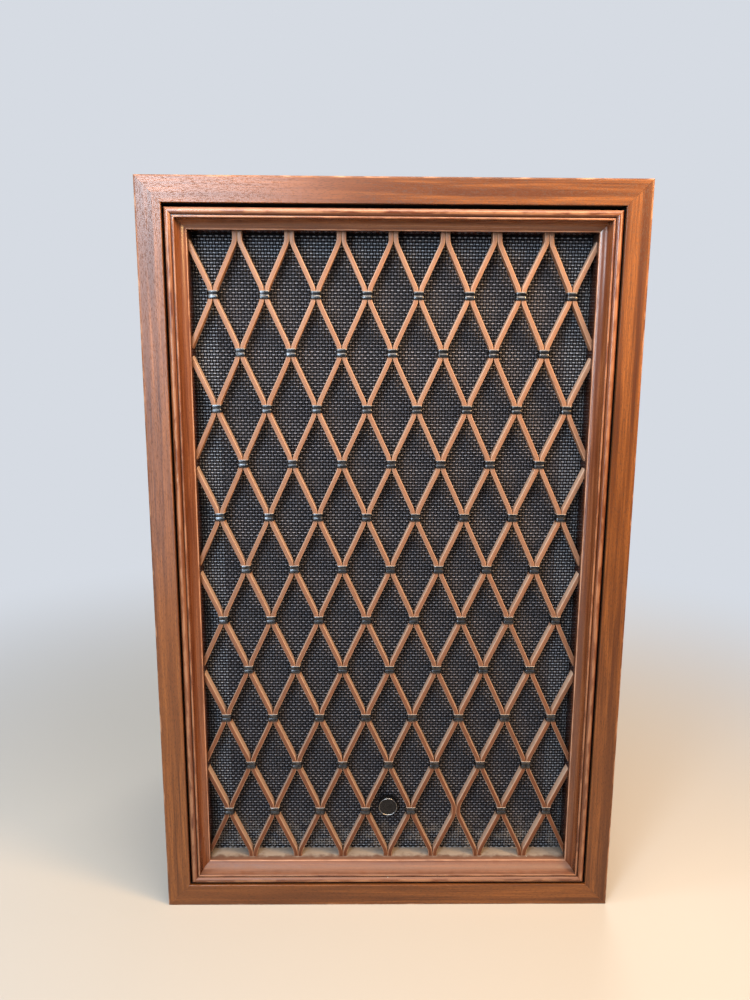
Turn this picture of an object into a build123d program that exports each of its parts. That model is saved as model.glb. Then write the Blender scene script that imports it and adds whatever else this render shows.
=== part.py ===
from build123d import *
import math
import os

# A three-way bookshelf loudspeaker with a wooden lattice grille, in millimetres.
# The cabinet stands on Z = 0, centred on X = 0 and Y = 0, and its front faces -Y.

# Cabinet: four mitred boards, a baffle set back behind the grille and a recessed back
WIDTH = 380.0
HEIGHT = 597.0
DEPTH = 292.0
WALL = 19.0
ARRIS = 0.8
BAFFLE_THICKNESS = 18.0
BACK_RECESS = 18.0
BACK_THICKNESS = 15.0
PANEL_FIT = 0.3
CLEAT = 15.0

# Grille frame: mitred moulding, with a bead, a thin fillet and a cove down to a rounded lip
GRILLE_SIDE_GAP = 1.5
GRILLE_TOP_GAP = 2.8
GRILLE_BOTTOM_GAP = 1.2
MOULDING_DEPTH = 30.0
BEAD_SETBACK = 0.5
BEAD_RADIUS = 2.6
QUIRK_WIDTH = 0.6
FILLET_SETBACK = 1.8
FILLET_WIDTH = 1.4
COVE_WIDTH = 6.0
COVE_DEPTH = 10.2
COVE_HOLLOW = 1.8
LIP_NOSE = 0.8

# Lattice: zigzag strips that meet side by side, with a clip round each meeting
COLUMNS = 8
ROWS = 12
STRIP_WIDTH = 3.6
STRIP_DEPTH = 7.0
STRIP_SETBACK = 18.0
STRIP_FIT = 0.1
STRIP_FOOT = 0.2
STRIP_HEAD = 3.0
LATTICE_OVERRUN = 3.0
NODE_STRAIGHT = 9.0
BEND_RADIUS = 8.0
CLIP_HEIGHT = 6.5
CLIP_WALL = 0.6
CLIP_FIT = 0.1
CLIP_GROOVE = 0.5
MISSING_CLIP = (11, 5)

# Cloth, its battens, the badge and the pegs that hold the grille
CLOTH_THICKNESS = 1.0
CLOTH_MARGIN = 4.0
BATTEN_MARGIN = 2.0
BATTEN_WIDTH = 30.0
BATTEN_THICKNESS = 8.0
BADGE_RADIUS = 8.75
BADGE_THICKNESS = 6.5
BADGE_ROW = 11
BADGE_PIN_RADIUS = 1.5
BADGE_WASHER_RADIUS = 5.0
BADGE_WASHER = 0.8
BADGE_FIT = 0.1
PEG_INSET = 16.0
PEG_RADIUS = 4.0
PEG_LENGTH = 12.0
PEG_TIP = 1.5
PEG_SHOULDER = 13.0
PEG_SHOULDER_RADIUS = 8.0
PEG_CLEARANCE = 0.05
SOCKET_WALL = 2.0
SOCKET_FLANGE = 1.5
SOCKET_FLANGE_RADIUS = 9.0
SOCKET_FLOOR = 1.5
SOCKET_FIT = 0.1

# Woofer: its flange nearly fills the baffle's width; depths count back from the baffle's face
WOOFER_EDGE = 18.0
WOOFER_FLANGE = 25.0
WOOFER_SHEET = 2.0
WOOFER_CUTOUT_FIT = 12.0
WOOFER_ROLL = 12.0
WOOFER_ROLL_HEIGHT = 5.0
WOOFER_RIM = 9.0
WOOFER_GASKET = 4.0
WOOFER_GASKET_WIDTH = 12.0
WOOFER_CONE_LIP = 6.0
WOOFER_CONE_DEPTH = 52.0
WOOFER_CAP_RADIUS = 45.0
WOOFER_CAP_HEIGHT = 16.0
WOOFER_LANDING_RADIUS = 68.0
WOOFER_LANDING = 10.0
WOOFER_LANDING_DEPTH = 60.0
WOOFER_SEAT_DEPTH = 72.0
WOOFER_SPIDER_WAVE = 1.6
WOOFER_COIL_RADIUS = 19.2
WOOFER_COIL_LENGTH = 16.0
WOOFER_PLATE_RADIUS = 58.0
WOOFER_PLATE = 6.0
WOOFER_MAGNET_RADIUS = 72.0
WOOFER_MAGNET_BORE = 32.0
WOOFER_MAGNET = 20.0
WOOFER_SCREWS = 8
WOOFER_WINDOWS = 8
WINDOW_LENGTH = 40.0
WINDOW_WIDTH = 54.0
WINDOW_ANGLE = 76.0
WINDOW_CORNER = 4.0

# Midrange: a closed-back frame, up and to the left of the woofer
MIDRANGE_X = -62.0
MIDRANGE_RISE = 250.0
MIDRANGE_RADIUS = 65.0
MIDRANGE_FLANGE = 15.0
MIDRANGE_CUTOUT_FIT = 6.0
MIDRANGE_ROLL = 8.0
MIDRANGE_ROLL_HEIGHT = 3.0
MIDRANGE_CONE_DEPTH = 21.0
MIDRANGE_CAP_HEIGHT = 5.0
MIDRANGE_LANDING_RADIUS = 27.0
MIDRANGE_LANDING = 5.0
MIDRANGE_LANDING_DEPTH = 26.0
MIDRANGE_SEAT_DEPTH = 33.0
MIDRANGE_SPIDER_WAVE = 0.6
MIDRANGE_COIL_RADIUS = 9.6
MIDRANGE_COIL_LENGTH = 8.0
MIDRANGE_PLATE_RADIUS = 26.0
MIDRANGE_PLATE = 4.0
MIDRANGE_MAGNET_RADIUS = 33.0
MIDRANGE_MAGNET_BORE = 15.0
MIDRANGE_MAGNET = 10.0

# Tweeter: a small cone in a closed frame, up and to the right of the woofer
TWEETER_X = 88.0
TWEETER_RISE = 265.0
TWEETER_RADIUS = 48.0
TWEETER_FLANGE = 15.0
TWEETER_CUTOUT_FIT = 5.0
TWEETER_ROLL = 6.0
TWEETER_ROLL_HEIGHT = 1.6
TWEETER_CONE_DEPTH = 10.0
TWEETER_CAP_HEIGHT = 3.0
TWEETER_THROAT_RADIUS = 22.0
TWEETER_SEAT_DEPTH = 14.0
TWEETER_COIL_RADIUS = 7.0
TWEETER_COIL_LENGTH = 5.0
TWEETER_PLATE_RADIUS = 22.0
TWEETER_PLATE = 4.0
TWEETER_MAGNET_RADIUS = 26.0
TWEETER_MAGNET_BORE = 12.0
TWEETER_MAGNET = 8.0

# What the three drivers share
SMALL_SHEET = 1.2
SMALL_RIM = 5.0
SMALL_CONE_LIP = 2.5
SMALL_SCREWS = 4
SURROUND_SHEET = 0.8
SPIDER_WAVES = 4
SPIDER_STEP = 1.5
PAPER = 0.8
FORMER_WALL = 0.4
WINDING = 0.9
COIL_GAP = 0.8
GLUE_GAP = 0.1
SEAT_BORE = 4.0

# Screws
SCREW_RADIUS = 1.75
SCREW_HEAD_RADIUS = 4.0
SCREW_HEAD = 2.2
SCREW_CHAMFER = 0.9
SCREW_FIT = 0.1
SCREW_GRIP = 12.0
PANEL_SCREW_ROWS = 4
PANEL_SCREW_END = 45.0

# Terminals and level controls, on one plate on the back panel
TERMINAL_HEIGHT = 170.0
TERMINAL_PLATE_WIDTH = 150.0
TERMINAL_PLATE_HEIGHT = 76.0
TERMINAL_PLATE = 3.0
TERMINAL_PLATE_CORNER = 5.0
TERMINAL_SCREW_INSET = 7.0
POST_SPREAD = 22.0
POST_DROP = 18.0
POST_RADIUS = 2.0
POST_BASE_RADIUS = 7.0
POST_BASE = 1.6
POST_END = 1.0
POST_NUT_RADIUS = 4.5
POST_NUT = 3.0
POST_TAIL = 3.0
POST_HOLE_RADIUS = 7.0
WASHER_RADIUS = 6.0
WASHER = 0.8
THUMB_NUT_RADIUS = 6.5
THUMB_NUT = 6.0
THUMB_NUT_FLUTES = 10
THUMB_NUT_FLUTE_RADIUS = 1.0
NUT_TRAVEL = 2.1
THREAD_CLEARANCE = 0.05
NUT_GAP = 0.1
CONTROL_SPREAD = 38.0
CONTROL_RISE = 15.0
CONTROL_RADIUS = 12.0
CONTROL_LENGTH = 11.0
CONTROL_HOLE_FIT = 1.5
BUSHING_RADIUS = 4.5
BUSHING_STAND = 0.6
SHAFT_RADIUS = 3.0
SHAFT_REACH = 8.0
SHAFT_CLEARANCE = 0.05
SHAFT_END_GAP = 0.5
KNOB_RADIUS = 11.0
KNOB_LENGTH = 11.0
KNOB_TAPER = 4.0
KNOB_GAP = 0.4
KNOB_SLOT = 1.6
KNOB_SLOT_DEPTH = 1.0

# Crossover on the floor of the box, wadding on its walls, and the leads
CROSSOVER_WIDTH = 170.0
CROSSOVER_LENGTH = 96.0
CROSSOVER_BOARD = 6.0
CROSSOVER_SETBACK = 10.0
COIL_SPACING = 60.0
COIL_FLANGE_RADIUS = 23.0
COIL_WINDING_RADIUS = 20.0
COIL_HEIGHT = 26.0
COIL_FLANGE = 2.0
COIL_BORE = 8.0
COIL_ROW = 22.0
CAPACITOR_COUNT = 4
CAPACITOR_RADIUS = 9.0
CAPACITOR_LENGTH = 34.0
CAPACITOR_SPACING = 40.0
CAPACITOR_ROW = 18.0
CAPACITOR_FIT = 0.1
PAD_THICKNESS = 18.0
PAD_INSET = 45.0
PAD_CHANNEL = 24.0
PAD_CORNER = 6.0
LEAD_RADIUS = 2.0
LEAD_BEND = 14.0
LEAD_FIT = 0.3
LEAD_INSET = 6.0
LEAD_RISE = 30.0

# Places that follow from the sizes above
inner_width = WIDTH - 2 * WALL
inner_height = HEIGHT - 2 * WALL
front_y = -DEPTH / 2
grille_width = inner_width - 2 * GRILLE_SIDE_GAP
grille_height = inner_height - GRILLE_TOP_GAP - GRILLE_BOTTOM_GAP
grille_bottom = WALL + GRILLE_BOTTOM_GAP
grille_top = grille_bottom + grille_height
grille_middle = (grille_bottom + grille_top) / 2
grille_back = MOULDING_DEPTH + CLOTH_THICKNESS + BATTEN_THICKNESS
baffle_setback = grille_back + PEG_SHOULDER
baffle_y = front_y + baffle_setback
baffle_back_y = baffle_y + BAFFLE_THICKNESS
back_outer_y = DEPTH / 2 - BACK_RECESS
back_inner_y = back_outer_y - BACK_THICKNESS
plate_y = back_outer_y + TERMINAL_PLATE
panel_width = inner_width - 2 * PANEL_FIT
panel_height = inner_height - 2 * PANEL_FIT
panel_middle = HEIGHT / 2
fillet_start = 2 * BEAD_RADIUS + QUIRK_WIDTH
cove_start = fillet_start + FILLET_WIDTH
lip_reach = cove_start + COVE_WIDTH + LIP_NOSE
opening_width = grille_width - 2 * lip_reach
opening_bottom = grille_bottom + lip_reach
opening_top = grille_top - lip_reach
column_pitch = (opening_width + 2 * LATTICE_OVERRUN) / COLUMNS
row_pitch = (opening_top - opening_bottom - STRIP_FOOT - STRIP_HEAD) / ROWS
strip_offset = (STRIP_WIDTH + STRIP_FIT) / 2
woofer_radius = inner_width / 2 - WOOFER_EDGE
woofer = (0.0, WALL + WOOFER_EDGE + woofer_radius)
midrange = (MIDRANGE_X, woofer[1] + MIDRANGE_RISE)
tweeter = (TWEETER_X, woofer[1] + TWEETER_RISE)
woofer_wall = woofer_radius - WOOFER_FLANGE
midrange_wall = MIDRANGE_RADIUS - MIDRANGE_FLANGE
tweeter_wall = TWEETER_RADIUS - TWEETER_FLANGE
woofer_cone_radius = woofer_wall - 2 * WOOFER_ROLL
midrange_cone_radius = midrange_wall - MIDRANGE_ROLL
tweeter_cone_radius = tweeter_wall - TWEETER_ROLL
woofer_screw_circle = woofer_radius - (WOOFER_FLANGE - WOOFER_GASKET_WIDTH) / 2
midrange_screw_circle = MIDRANGE_RADIUS - (MIDRANGE_FLANGE - SMALL_RIM) / 2
tweeter_screw_circle = TWEETER_RADIUS - (TWEETER_FLANGE - SMALL_RIM) / 2
post_height = TERMINAL_HEIGHT - POST_DROP
control_height = TERMINAL_HEIGHT + CONTROL_RISE
crossover_top = WALL + CROSSOVER_BOARD
crossover_y = back_inner_y - CLEAT - CROSSOVER_SETBACK - CROSSOVER_LENGTH / 2
peg_places = [
    (side * (grille_width / 2 - PEG_INSET), height)
    for side in (-1, 1)
    for height in (grille_bottom + PEG_INSET, grille_top - PEG_INSET)
]
RIGHT = Vector(1, 0, 0)
LEFT = Vector(-1, 0, 0)
UP = Vector(0, 0, 1)
DOWN = Vector(0, 0, -1)
BACK = Vector(0, 1, 0)

os.makedirs("parts", exist_ok=True)


def finish(piece, name):
    """Label a finished piece and write it as a file of its own."""
    piece.part.label = name
    export_step(piece.part, f"parts/{name}.step")


def upright(y, x=0.0, z=0.0):
    """Plane that faces the front at this Y, its own Y pointing up."""
    return Plane(origin=(x, y, z), x_dir=(1, 0, 0), z_dir=(0, -1, 0))


def section_plane(centre):
    """Plane through a driver's axis: X is radius, Y is depth behind the baffle's face."""
    return Plane(origin=(centre[0], baffle_y, centre[1]))


def driver_axis(centre):
    """The axis that a driver's round pieces turn about."""
    return Axis((centre[0], baffle_y, centre[1]), (0, 1, 0))


def ring(centre, outer, inner, front, back):
    """Flat ring about an axis along Y, between two values of Y."""
    with BuildPart() as piece:
        with BuildSketch(upright(front, *centre)):
            Circle(outer)
            Circle(inner, mode=Mode.SUBTRACT)
        extrude(amount=front - back)
    return piece


def mitred_bar(section, corner, inward, length, reach):
    """Bar of one section round one side of a frame, mitred at both ends.

    The section's X runs inward from the frame's edge and its Y to the back.
    """
    along = inward.cross(BACK)
    with BuildPart() as bar:
        with BuildSketch(Plane(origin=corner, x_dir=inward, z_dir=along)):
            add(section)
        extrude(amount=length)
        with BuildSketch(Plane(origin=corner, x_dir=inward, z_dir=inward.cross(along))):
            with BuildLine():
                Polyline((0, 0), (0, length), (reach, length - reach), (reach, reach), close=True)
            make_face()
        extrude(amount=DEPTH, both=True, mode=Mode.INTERSECT)
    return bar


def four_sides(section, names, width, bottom, top, reach):
    """The four mitred bars of a frame, started at the corners so that each runs to the next."""
    half = width / 2
    starts = (
        (names[0], Vector(-half, front_y, top), DOWN, width),
        (names[1], Vector(half, front_y, bottom), UP, width),
        (names[2], Vector(-half, front_y, bottom), RIGHT, top - bottom),
        (names[3], Vector(half, front_y, top), LEFT, top - bottom),
    )
    for name, corner, inward, length in starts:
        finish(mitred_bar(section, corner, inward, length, reach), name)


# Cabinet: veneered boards with the front and back arrises eased
with BuildSketch() as board_section:
    with Locations((WALL / 2, DEPTH / 2)):
        Rectangle(WALL, DEPTH)
    fillet(board_section.vertices().group_by(Axis.X)[0], ARRIS)
cabinet_names = ("cabinet_top", "cabinet_bottom", "cabinet_left_side", "cabinet_right_side")
four_sides(board_section.sketch, cabinet_names, WIDTH, 0.0, HEIGHT, WALL)

# Grille frame: the moulding runs from its bead at the edge down the cove to the lip,
# and behind the lip a flat inner face takes the ends of the lattice strips.
lip_front = FILLET_SETBACK + COVE_DEPTH
cove_end = cove_start + COVE_WIDTH
cove_chord = math.hypot(COVE_WIDTH, COVE_DEPTH)
cove_middle = (
    cove_start + COVE_WIDTH / 2 - COVE_HOLLOW * COVE_DEPTH / cove_chord,
    FILLET_SETBACK + COVE_DEPTH / 2 + COVE_HOLLOW * COVE_WIDTH / cove_chord,
)
bead_side = BEAD_SETBACK + BEAD_RADIUS
with BuildSketch() as moulding_section:
    with BuildLine():
        Line((0, MOULDING_DEPTH), (0, bead_side))
        ThreePointArc((0, bead_side), (BEAD_RADIUS, BEAD_SETBACK), (2 * BEAD_RADIUS, bead_side))
        Polyline(
            (2 * BEAD_RADIUS, bead_side),
            (fillet_start, bead_side),
            (fillet_start, FILLET_SETBACK),
            (cove_start, FILLET_SETBACK),
        )
        ThreePointArc((cove_start, FILLET_SETBACK), cove_middle, (cove_end, lip_front))
        RadiusArc((cove_end, lip_front), (lip_reach, lip_front + LIP_NOSE), LIP_NOSE)
        Polyline((lip_reach, lip_front + LIP_NOSE), (lip_reach, MOULDING_DEPTH), (0, MOULDING_DEPTH))
    make_face()
rail_names = ("grille_rail_top", "grille_rail_bottom", "grille_rail_left", "grille_rail_right")
four_sides(moulding_section.sketch, rail_names, grille_width, grille_bottom, grille_top, lip_reach)


def row_height(row):
    """Height of a row of crossings, counted from the top of the lattice."""
    return opening_top - STRIP_HEAD - row * row_pitch


# Lattice strips: one strip leans out to the left at odd rows and to the right at even rows.
# Its neighbours are its mirror images, so that each row brings them together in pairs.
def zigzag(odd_x, even_x):
    """One strip, at odd_x where it meets its partner at the odd rows and at even_x at the even rows."""
    path_y = front_y + STRIP_SETBACK + STRIP_DEPTH / 2
    points = [(even_x, path_y, opening_top - STRIP_FIT)]
    for row in range(ROWS + 1):
        x = odd_x if row % 2 else even_x
        if row > 0:
            points.append((x, path_y, row_height(row) + NODE_STRAIGHT / 2))
        if row < ROWS:
            points.append((x, path_y, row_height(row) - NODE_STRAIGHT / 2))
    points.append((even_x, path_y, opening_bottom + STRIP_FIT))
    with BuildPart() as strip:
        with BuildLine() as path:
            FilletPolyline(*points, radius=BEND_RADIUS)
        with BuildSketch(Plane(origin=points[0], x_dir=(1, 0, 0), z_dir=(0, 0, -1))):
            Rectangle(STRIP_WIDTH, STRIP_DEPTH)
        sweep(path=path.line)
    return strip.part


def lattice_strips(side):
    """Strips of one hand; side is -1 for those on the left at an odd row's crossings.

    The outer one has no neighbour, so it runs on past the opening and is cut off at the frame.
    """
    odd_x = side * strip_offset
    half_pitch = column_pitch / 2
    outer_x = side * (COLUMNS - 1) * half_pitch
    with BuildPart() as outer:
        with Locations((outer_x, 0, 0)):
            add(zigzag(odd_x, side * half_pitch))
        with BuildSketch(upright(front_y, 0, grille_middle)):
            Rectangle(opening_width - 2 * STRIP_FIT, opening_top - opening_bottom - 2 * STRIP_FIT)
        extrude(amount=-MOULDING_DEPTH, mode=Mode.INTERSECT)
    inner = zigzag(odd_x, side * (half_pitch - strip_offset))
    with BuildPart() as group:
        add(outer.part)
        for column in range(1, COLUMNS):
            with Locations((outer_x - side * column * column_pitch, 0, 0)):
                add(inner)
    return group


finish(lattice_strips(-1), "lattice_strips_odd")
finish(lattice_strips(1), "lattice_strips_even")

# Lattice clips: a folded metal band with a groove round its middle, at every crossing but one
clip_hole_width = 2 * STRIP_WIDTH + STRIP_FIT + 2 * CLIP_FIT
clip_hole_depth = STRIP_DEPTH + 2 * CLIP_FIT
with BuildPart() as clip:
    with Locations((0, 0, CLIP_HEIGHT / 4), (0, 0, -CLIP_HEIGHT / 4)):
        Box(clip_hole_width + 2 * CLIP_WALL, clip_hole_depth + 2 * CLIP_WALL, CLIP_HEIGHT / 2)
    with BuildSketch(Plane.XY):
        Rectangle(clip_hole_width + 2 * CLIP_WALL, clip_hole_depth + 2 * CLIP_WALL)
        offset(amount=-CLIP_GROOVE, mode=Mode.SUBTRACT)
    extrude(amount=CLIP_GROOVE, both=True, mode=Mode.SUBTRACT)
    Box(clip_hole_width, clip_hole_depth, CLIP_HEIGHT, mode=Mode.SUBTRACT)
clip_places = []
for row in range(1, ROWS):
    count = COLUMNS if row % 2 else COLUMNS - 1
    for column in range(count):
        if (row, column) != MISSING_CLIP:
            x = (column - (count - 1) / 2) * column_pitch
            clip_places.append((x, front_y + STRIP_SETBACK + STRIP_DEPTH / 2, row_height(row)))
with BuildPart() as lattice_clips:
    with Locations(*clip_places):
        add(clip.part)
finish(lattice_clips, "lattice_clips")

# Cloth, stretched over battens behind the moulding, with a hole for the badge's pin
cloth_y = front_y + MOULDING_DEPTH
badge_height = row_height(BADGE_ROW)
with BuildPart() as grille_cloth:
    with BuildSketch(upright(cloth_y, 0, grille_middle)):
        Rectangle(grille_width - 2 * CLOTH_MARGIN, grille_height - 2 * CLOTH_MARGIN)
        with Locations((0, badge_height - grille_middle)):
            Circle(BADGE_PIN_RADIUS + BADGE_FIT, mode=Mode.SUBTRACT)
    extrude(amount=-CLOTH_THICKNESS)
finish(grille_cloth, "grille_cloth")

# Battens: two uprights between a top and a bottom batten, fixed to the back of the moulding
batten_y = cloth_y + CLOTH_THICKNESS
batten_span_x = grille_width - 2 * BATTEN_MARGIN
batten_span_z = grille_height - 2 * BATTEN_MARGIN
with BuildPart() as grille_battens:
    with BuildSketch(upright(batten_y, 0, grille_middle)):
        with GridLocations(0, batten_span_z - BATTEN_WIDTH, 1, 2):
            Rectangle(batten_span_x, BATTEN_WIDTH)
        with GridLocations(batten_span_x - BATTEN_WIDTH, 0, 2, 1):
            Rectangle(BATTEN_WIDTH, batten_span_z - 2 * BATTEN_WIDTH - 2 * STRIP_FIT)
    extrude(amount=-BATTEN_THICKNESS)
finish(grille_battens, "grille_battens")

# Badge: a bare round button, pinned through the cloth with a washer behind it
with BuildPart() as badge:
    with BuildSketch(upright(cloth_y, 0, badge_height)):
        Circle(BADGE_RADIUS)
    extrude(amount=BADGE_THICKNESS)
    fillet(badge.edges().sort_by(Axis.Y)[0], ARRIS)
    with BuildSketch(upright(cloth_y, 0, badge_height)):
        Circle(BADGE_PIN_RADIUS)
    extrude(amount=-CLOTH_THICKNESS)
    with BuildSketch(upright(batten_y, 0, badge_height)):
        Circle(BADGE_WASHER_RADIUS)
    extrude(amount=-BADGE_WASHER)
finish(badge, "badge")

# Pegs on the battens and the sockets in the baffle that grip them
socket_radius = PEG_RADIUS + PEG_CLEARANCE + SOCKET_WALL
socket_depth = PEG_LENGTH + SOCKET_FLOOR
with BuildPart() as grille_pegs:
    with BuildSketch(upright(front_y + grille_back)):
        with Locations(*peg_places):
            Circle(PEG_SHOULDER_RADIUS)
    extrude(amount=SOCKET_FLANGE - PEG_SHOULDER)
    with BuildSketch(upright(baffle_y - SOCKET_FLANGE)):
        with Locations(*peg_places):
            Circle(PEG_RADIUS)
    extrude(amount=-PEG_LENGTH)
    chamfer(grille_pegs.edges().group_by(Axis.Y)[-1], PEG_TIP)
finish(grille_pegs, "grille_pegs")

with BuildPart() as peg_sockets:
    with BuildSketch(upright(baffle_y)):
        with Locations(*peg_places):
            Circle(SOCKET_FLANGE_RADIUS)
    extrude(amount=SOCKET_FLANGE)
    with BuildSketch(upright(baffle_y)):
        with Locations(*peg_places):
            Circle(socket_radius)
    extrude(amount=-socket_depth)
    with BuildSketch(upright(baffle_y - SOCKET_FLANGE)):
        with Locations(*peg_places):
            Circle(PEG_RADIUS + PEG_CLEARANCE)
    extrude(amount=-(SOCKET_FLANGE + PEG_LENGTH), mode=Mode.SUBTRACT)
finish(peg_sockets, "peg_sockets")


def screw_ring(centre, radius, count):
    """Places of a driver's screws, turned so that none is at the very top."""
    step = 2 * math.pi / count
    return [
        (centre[0] + radius * math.cos((i + 0.5) * step), centre[1] + radius * math.sin((i + 0.5) * step))
        for i in range(count)
    ]


woofer_screws = screw_ring(woofer, woofer_screw_circle, WOOFER_SCREWS)
midrange_screws = screw_ring(midrange, midrange_screw_circle, SMALL_SCREWS)
tweeter_screws = screw_ring(tweeter, tweeter_screw_circle, SMALL_SCREWS)

# Baffle: cut-outs for the drivers, pilot holes for their screws and holes for the sockets
with BuildPart() as front_baffle:
    with BuildSketch(upright(baffle_y)):
        with Locations((0, panel_middle)):
            Rectangle(panel_width, panel_height)
        with Locations(woofer):
            Circle(woofer_wall + WOOFER_CUTOUT_FIT, mode=Mode.SUBTRACT)
        with Locations(midrange):
            Circle(midrange_wall + MIDRANGE_CUTOUT_FIT, mode=Mode.SUBTRACT)
        with Locations(tweeter):
            Circle(tweeter_wall + TWEETER_CUTOUT_FIT, mode=Mode.SUBTRACT)
        with Locations(*peg_places):
            Circle(socket_radius + SOCKET_FIT, mode=Mode.SUBTRACT)
    extrude(amount=-BAFFLE_THICKNESS)
    with BuildSketch(upright(baffle_y)):
        with Locations(*woofer_screws, *midrange_screws, *tweeter_screws):
            Circle(SCREW_RADIUS + SCREW_FIT)
    extrude(amount=-(SCREW_GRIP + SCREW_FIT), mode=Mode.SUBTRACT)
finish(front_baffle, "front_baffle")

# Back panel screws: a row down each side, in the middle of the cleats, and one at top and bottom
panel_screw_x = inner_width / 2 - CLEAT / 2
panel_screw_span = inner_height - 2 * PANEL_SCREW_END
panel_screw_places = [
    (side * panel_screw_x, WALL + PANEL_SCREW_END + i * panel_screw_span / (PANEL_SCREW_ROWS - 1))
    for side in (-1, 1)
    for i in range(PANEL_SCREW_ROWS)
]
panel_screw_places += [(0.0, WALL + CLEAT / 2), (0.0, HEIGHT - WALL - CLEAT / 2)]
terminal_screw_x = TERMINAL_PLATE_WIDTH / 2 - TERMINAL_SCREW_INSET
terminal_screw_z = TERMINAL_PLATE_HEIGHT / 2 - TERMINAL_SCREW_INSET
terminal_screw_places = [
    (x, TERMINAL_HEIGHT + z)
    for x in (-terminal_screw_x, terminal_screw_x)
    for z in (-terminal_screw_z, terminal_screw_z)
]
post_places = [(-POST_SPREAD, post_height), (POST_SPREAD, post_height)]
control_places = [(-CONTROL_SPREAD, control_height), (CONTROL_SPREAD, control_height)]

# Back panel: screw holes, and round holes behind the terminal plate
with BuildPart() as back_panel:
    with BuildSketch(upright(back_inner_y)):
        with Locations((0, panel_middle)):
            Rectangle(panel_width, panel_height)
        with Locations(*panel_screw_places, *terminal_screw_places):
            Circle(SCREW_RADIUS + SCREW_FIT, mode=Mode.SUBTRACT)
        with Locations(*post_places):
            Circle(POST_HOLE_RADIUS, mode=Mode.SUBTRACT)
        with Locations(*control_places):
            Circle(CONTROL_RADIUS + CONTROL_HOLE_FIT, mode=Mode.SUBTRACT)
    extrude(amount=-BACK_THICKNESS)
finish(back_panel, "back_panel")

# Cleats: battens glued in the box, behind the baffle and in front of the back panel
with BuildPart() as cleats:
    for cleat_y in (baffle_back_y, back_inner_y - CLEAT):
        with BuildSketch(upright(cleat_y, 0, panel_middle)):
            with GridLocations(0, inner_height - CLEAT, 1, 2):
                Rectangle(inner_width, CLEAT)
            with GridLocations(inner_width - CLEAT, 0, 2, 1):
                Rectangle(CLEAT, inner_height - 2 * CLEAT - 2 * PANEL_FIT)
        extrude(amount=-CLEAT)
    with BuildSketch(upright(back_inner_y)):
        with Locations(*panel_screw_places):
            Circle(SCREW_RADIUS + SCREW_FIT)
    extrude(amount=SCREW_GRIP + SCREW_FIT, mode=Mode.SUBTRACT)
finish(cleats, "cleats")


def screw(length):
    """Pan-head screw along its own Z: the head stands above Z = 0 and the shank goes down."""
    with BuildPart() as piece:
        Cylinder(SCREW_HEAD_RADIUS, SCREW_HEAD, align=(Align.CENTER, Align.CENTER, Align.MIN))
        chamfer(piece.edges().sort_by(Axis.Z)[-1], SCREW_CHAMFER)
        Cylinder(SCREW_RADIUS, length, align=(Align.CENTER, Align.CENTER, Align.MAX))
    return piece.part


def screw_locations(places, y, turn):
    """Locations for screws whose heads face the front, or the back where turn is 1."""
    return [Location((x, y, z), (-90 if turn else 90, 0, 0)) for x, z in places]


with BuildPart() as driver_screws:
    with Locations(*screw_locations(woofer_screws, baffle_y - WOOFER_SHEET, 0)):
        add(screw(WOOFER_SHEET + SCREW_GRIP))
    small_screws = screw_locations(midrange_screws + tweeter_screws, baffle_y - SMALL_SHEET, 0)
    with Locations(*small_screws):
        add(screw(SMALL_SHEET + SCREW_GRIP))
finish(driver_screws, "driver_screws")

with BuildPart() as panel_screws:
    with Locations(*screw_locations(panel_screw_places, back_outer_y, 1)):
        add(screw(BACK_THICKNESS + SCREW_GRIP))
    with Locations(*screw_locations(terminal_screw_places, plate_y, 1)):
        add(screw(TERMINAL_PLATE + SCREW_GRIP))
finish(panel_screws, "panel_screws")


def driver_frame(centre, outline, sheet, screw_places):
    """Pressed frame: its front outline thickened to the back, with holes for its screws."""
    with BuildPart() as piece:
        with BuildSketch(section_plane(centre)):
            with BuildLine():
                Polyline(*outline)
                offset(amount=sheet, side=Side.RIGHT)
            make_face()
        revolve(axis=driver_axis(centre))
        with BuildSketch(upright(baffle_y)):
            with Locations(*screw_places):
                Circle(SCREW_RADIUS + SCREW_FIT)
        extrude(amount=sheet, mode=Mode.SUBTRACT)
    return piece


def surround(centre, wall, rim, roll, rolls, height, lip, sheet):
    """Edge of soft sheet: a rim on the frame, one or more rolls, and a lip on the cone."""
    rest = -sheet - SURROUND_SHEET
    with BuildPart() as piece:
        with BuildSketch(section_plane(centre)):
            with BuildLine():
                Line((wall + rim, rest), (wall, rest))
                for i in range(rolls):
                    start = wall - i * roll
                    crest = (start - roll / 2, rest - height)
                    ThreePointArc((start, rest), crest, (start - roll, rest))
                end = wall - rolls * roll
                Line((end, rest), (end - lip, rest))
                offset(amount=SURROUND_SHEET, side=Side.RIGHT)
            make_face()
        revolve(axis=driver_axis(centre))
    return piece


def spider(centre, outer, shoulder, inner, landing_depth, height):
    """Corrugated disc from the frame's landing in to the voice coil's former."""
    rest = landing_depth - SURROUND_SHEET
    flat_end = shoulder - SPIDER_STEP
    wave = (flat_end - inner - SURROUND_SHEET) / SPIDER_WAVES
    with BuildPart() as piece:
        with BuildSketch(section_plane(centre)):
            with BuildLine():
                Line((outer, rest), (flat_end, rest))
                for i in range(SPIDER_WAVES):
                    start = flat_end - i * wave
                    crest = -height if i % 2 else height
                    ThreePointArc((start, rest), (start - wave / 2, rest + crest), (start - wave, rest))
                Line((flat_end - SPIDER_WAVES * wave, rest), (inner, rest))
                offset(amount=SURROUND_SHEET, side=Side.RIGHT)
            make_face()
        revolve(axis=driver_axis(centre))
    return piece


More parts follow.
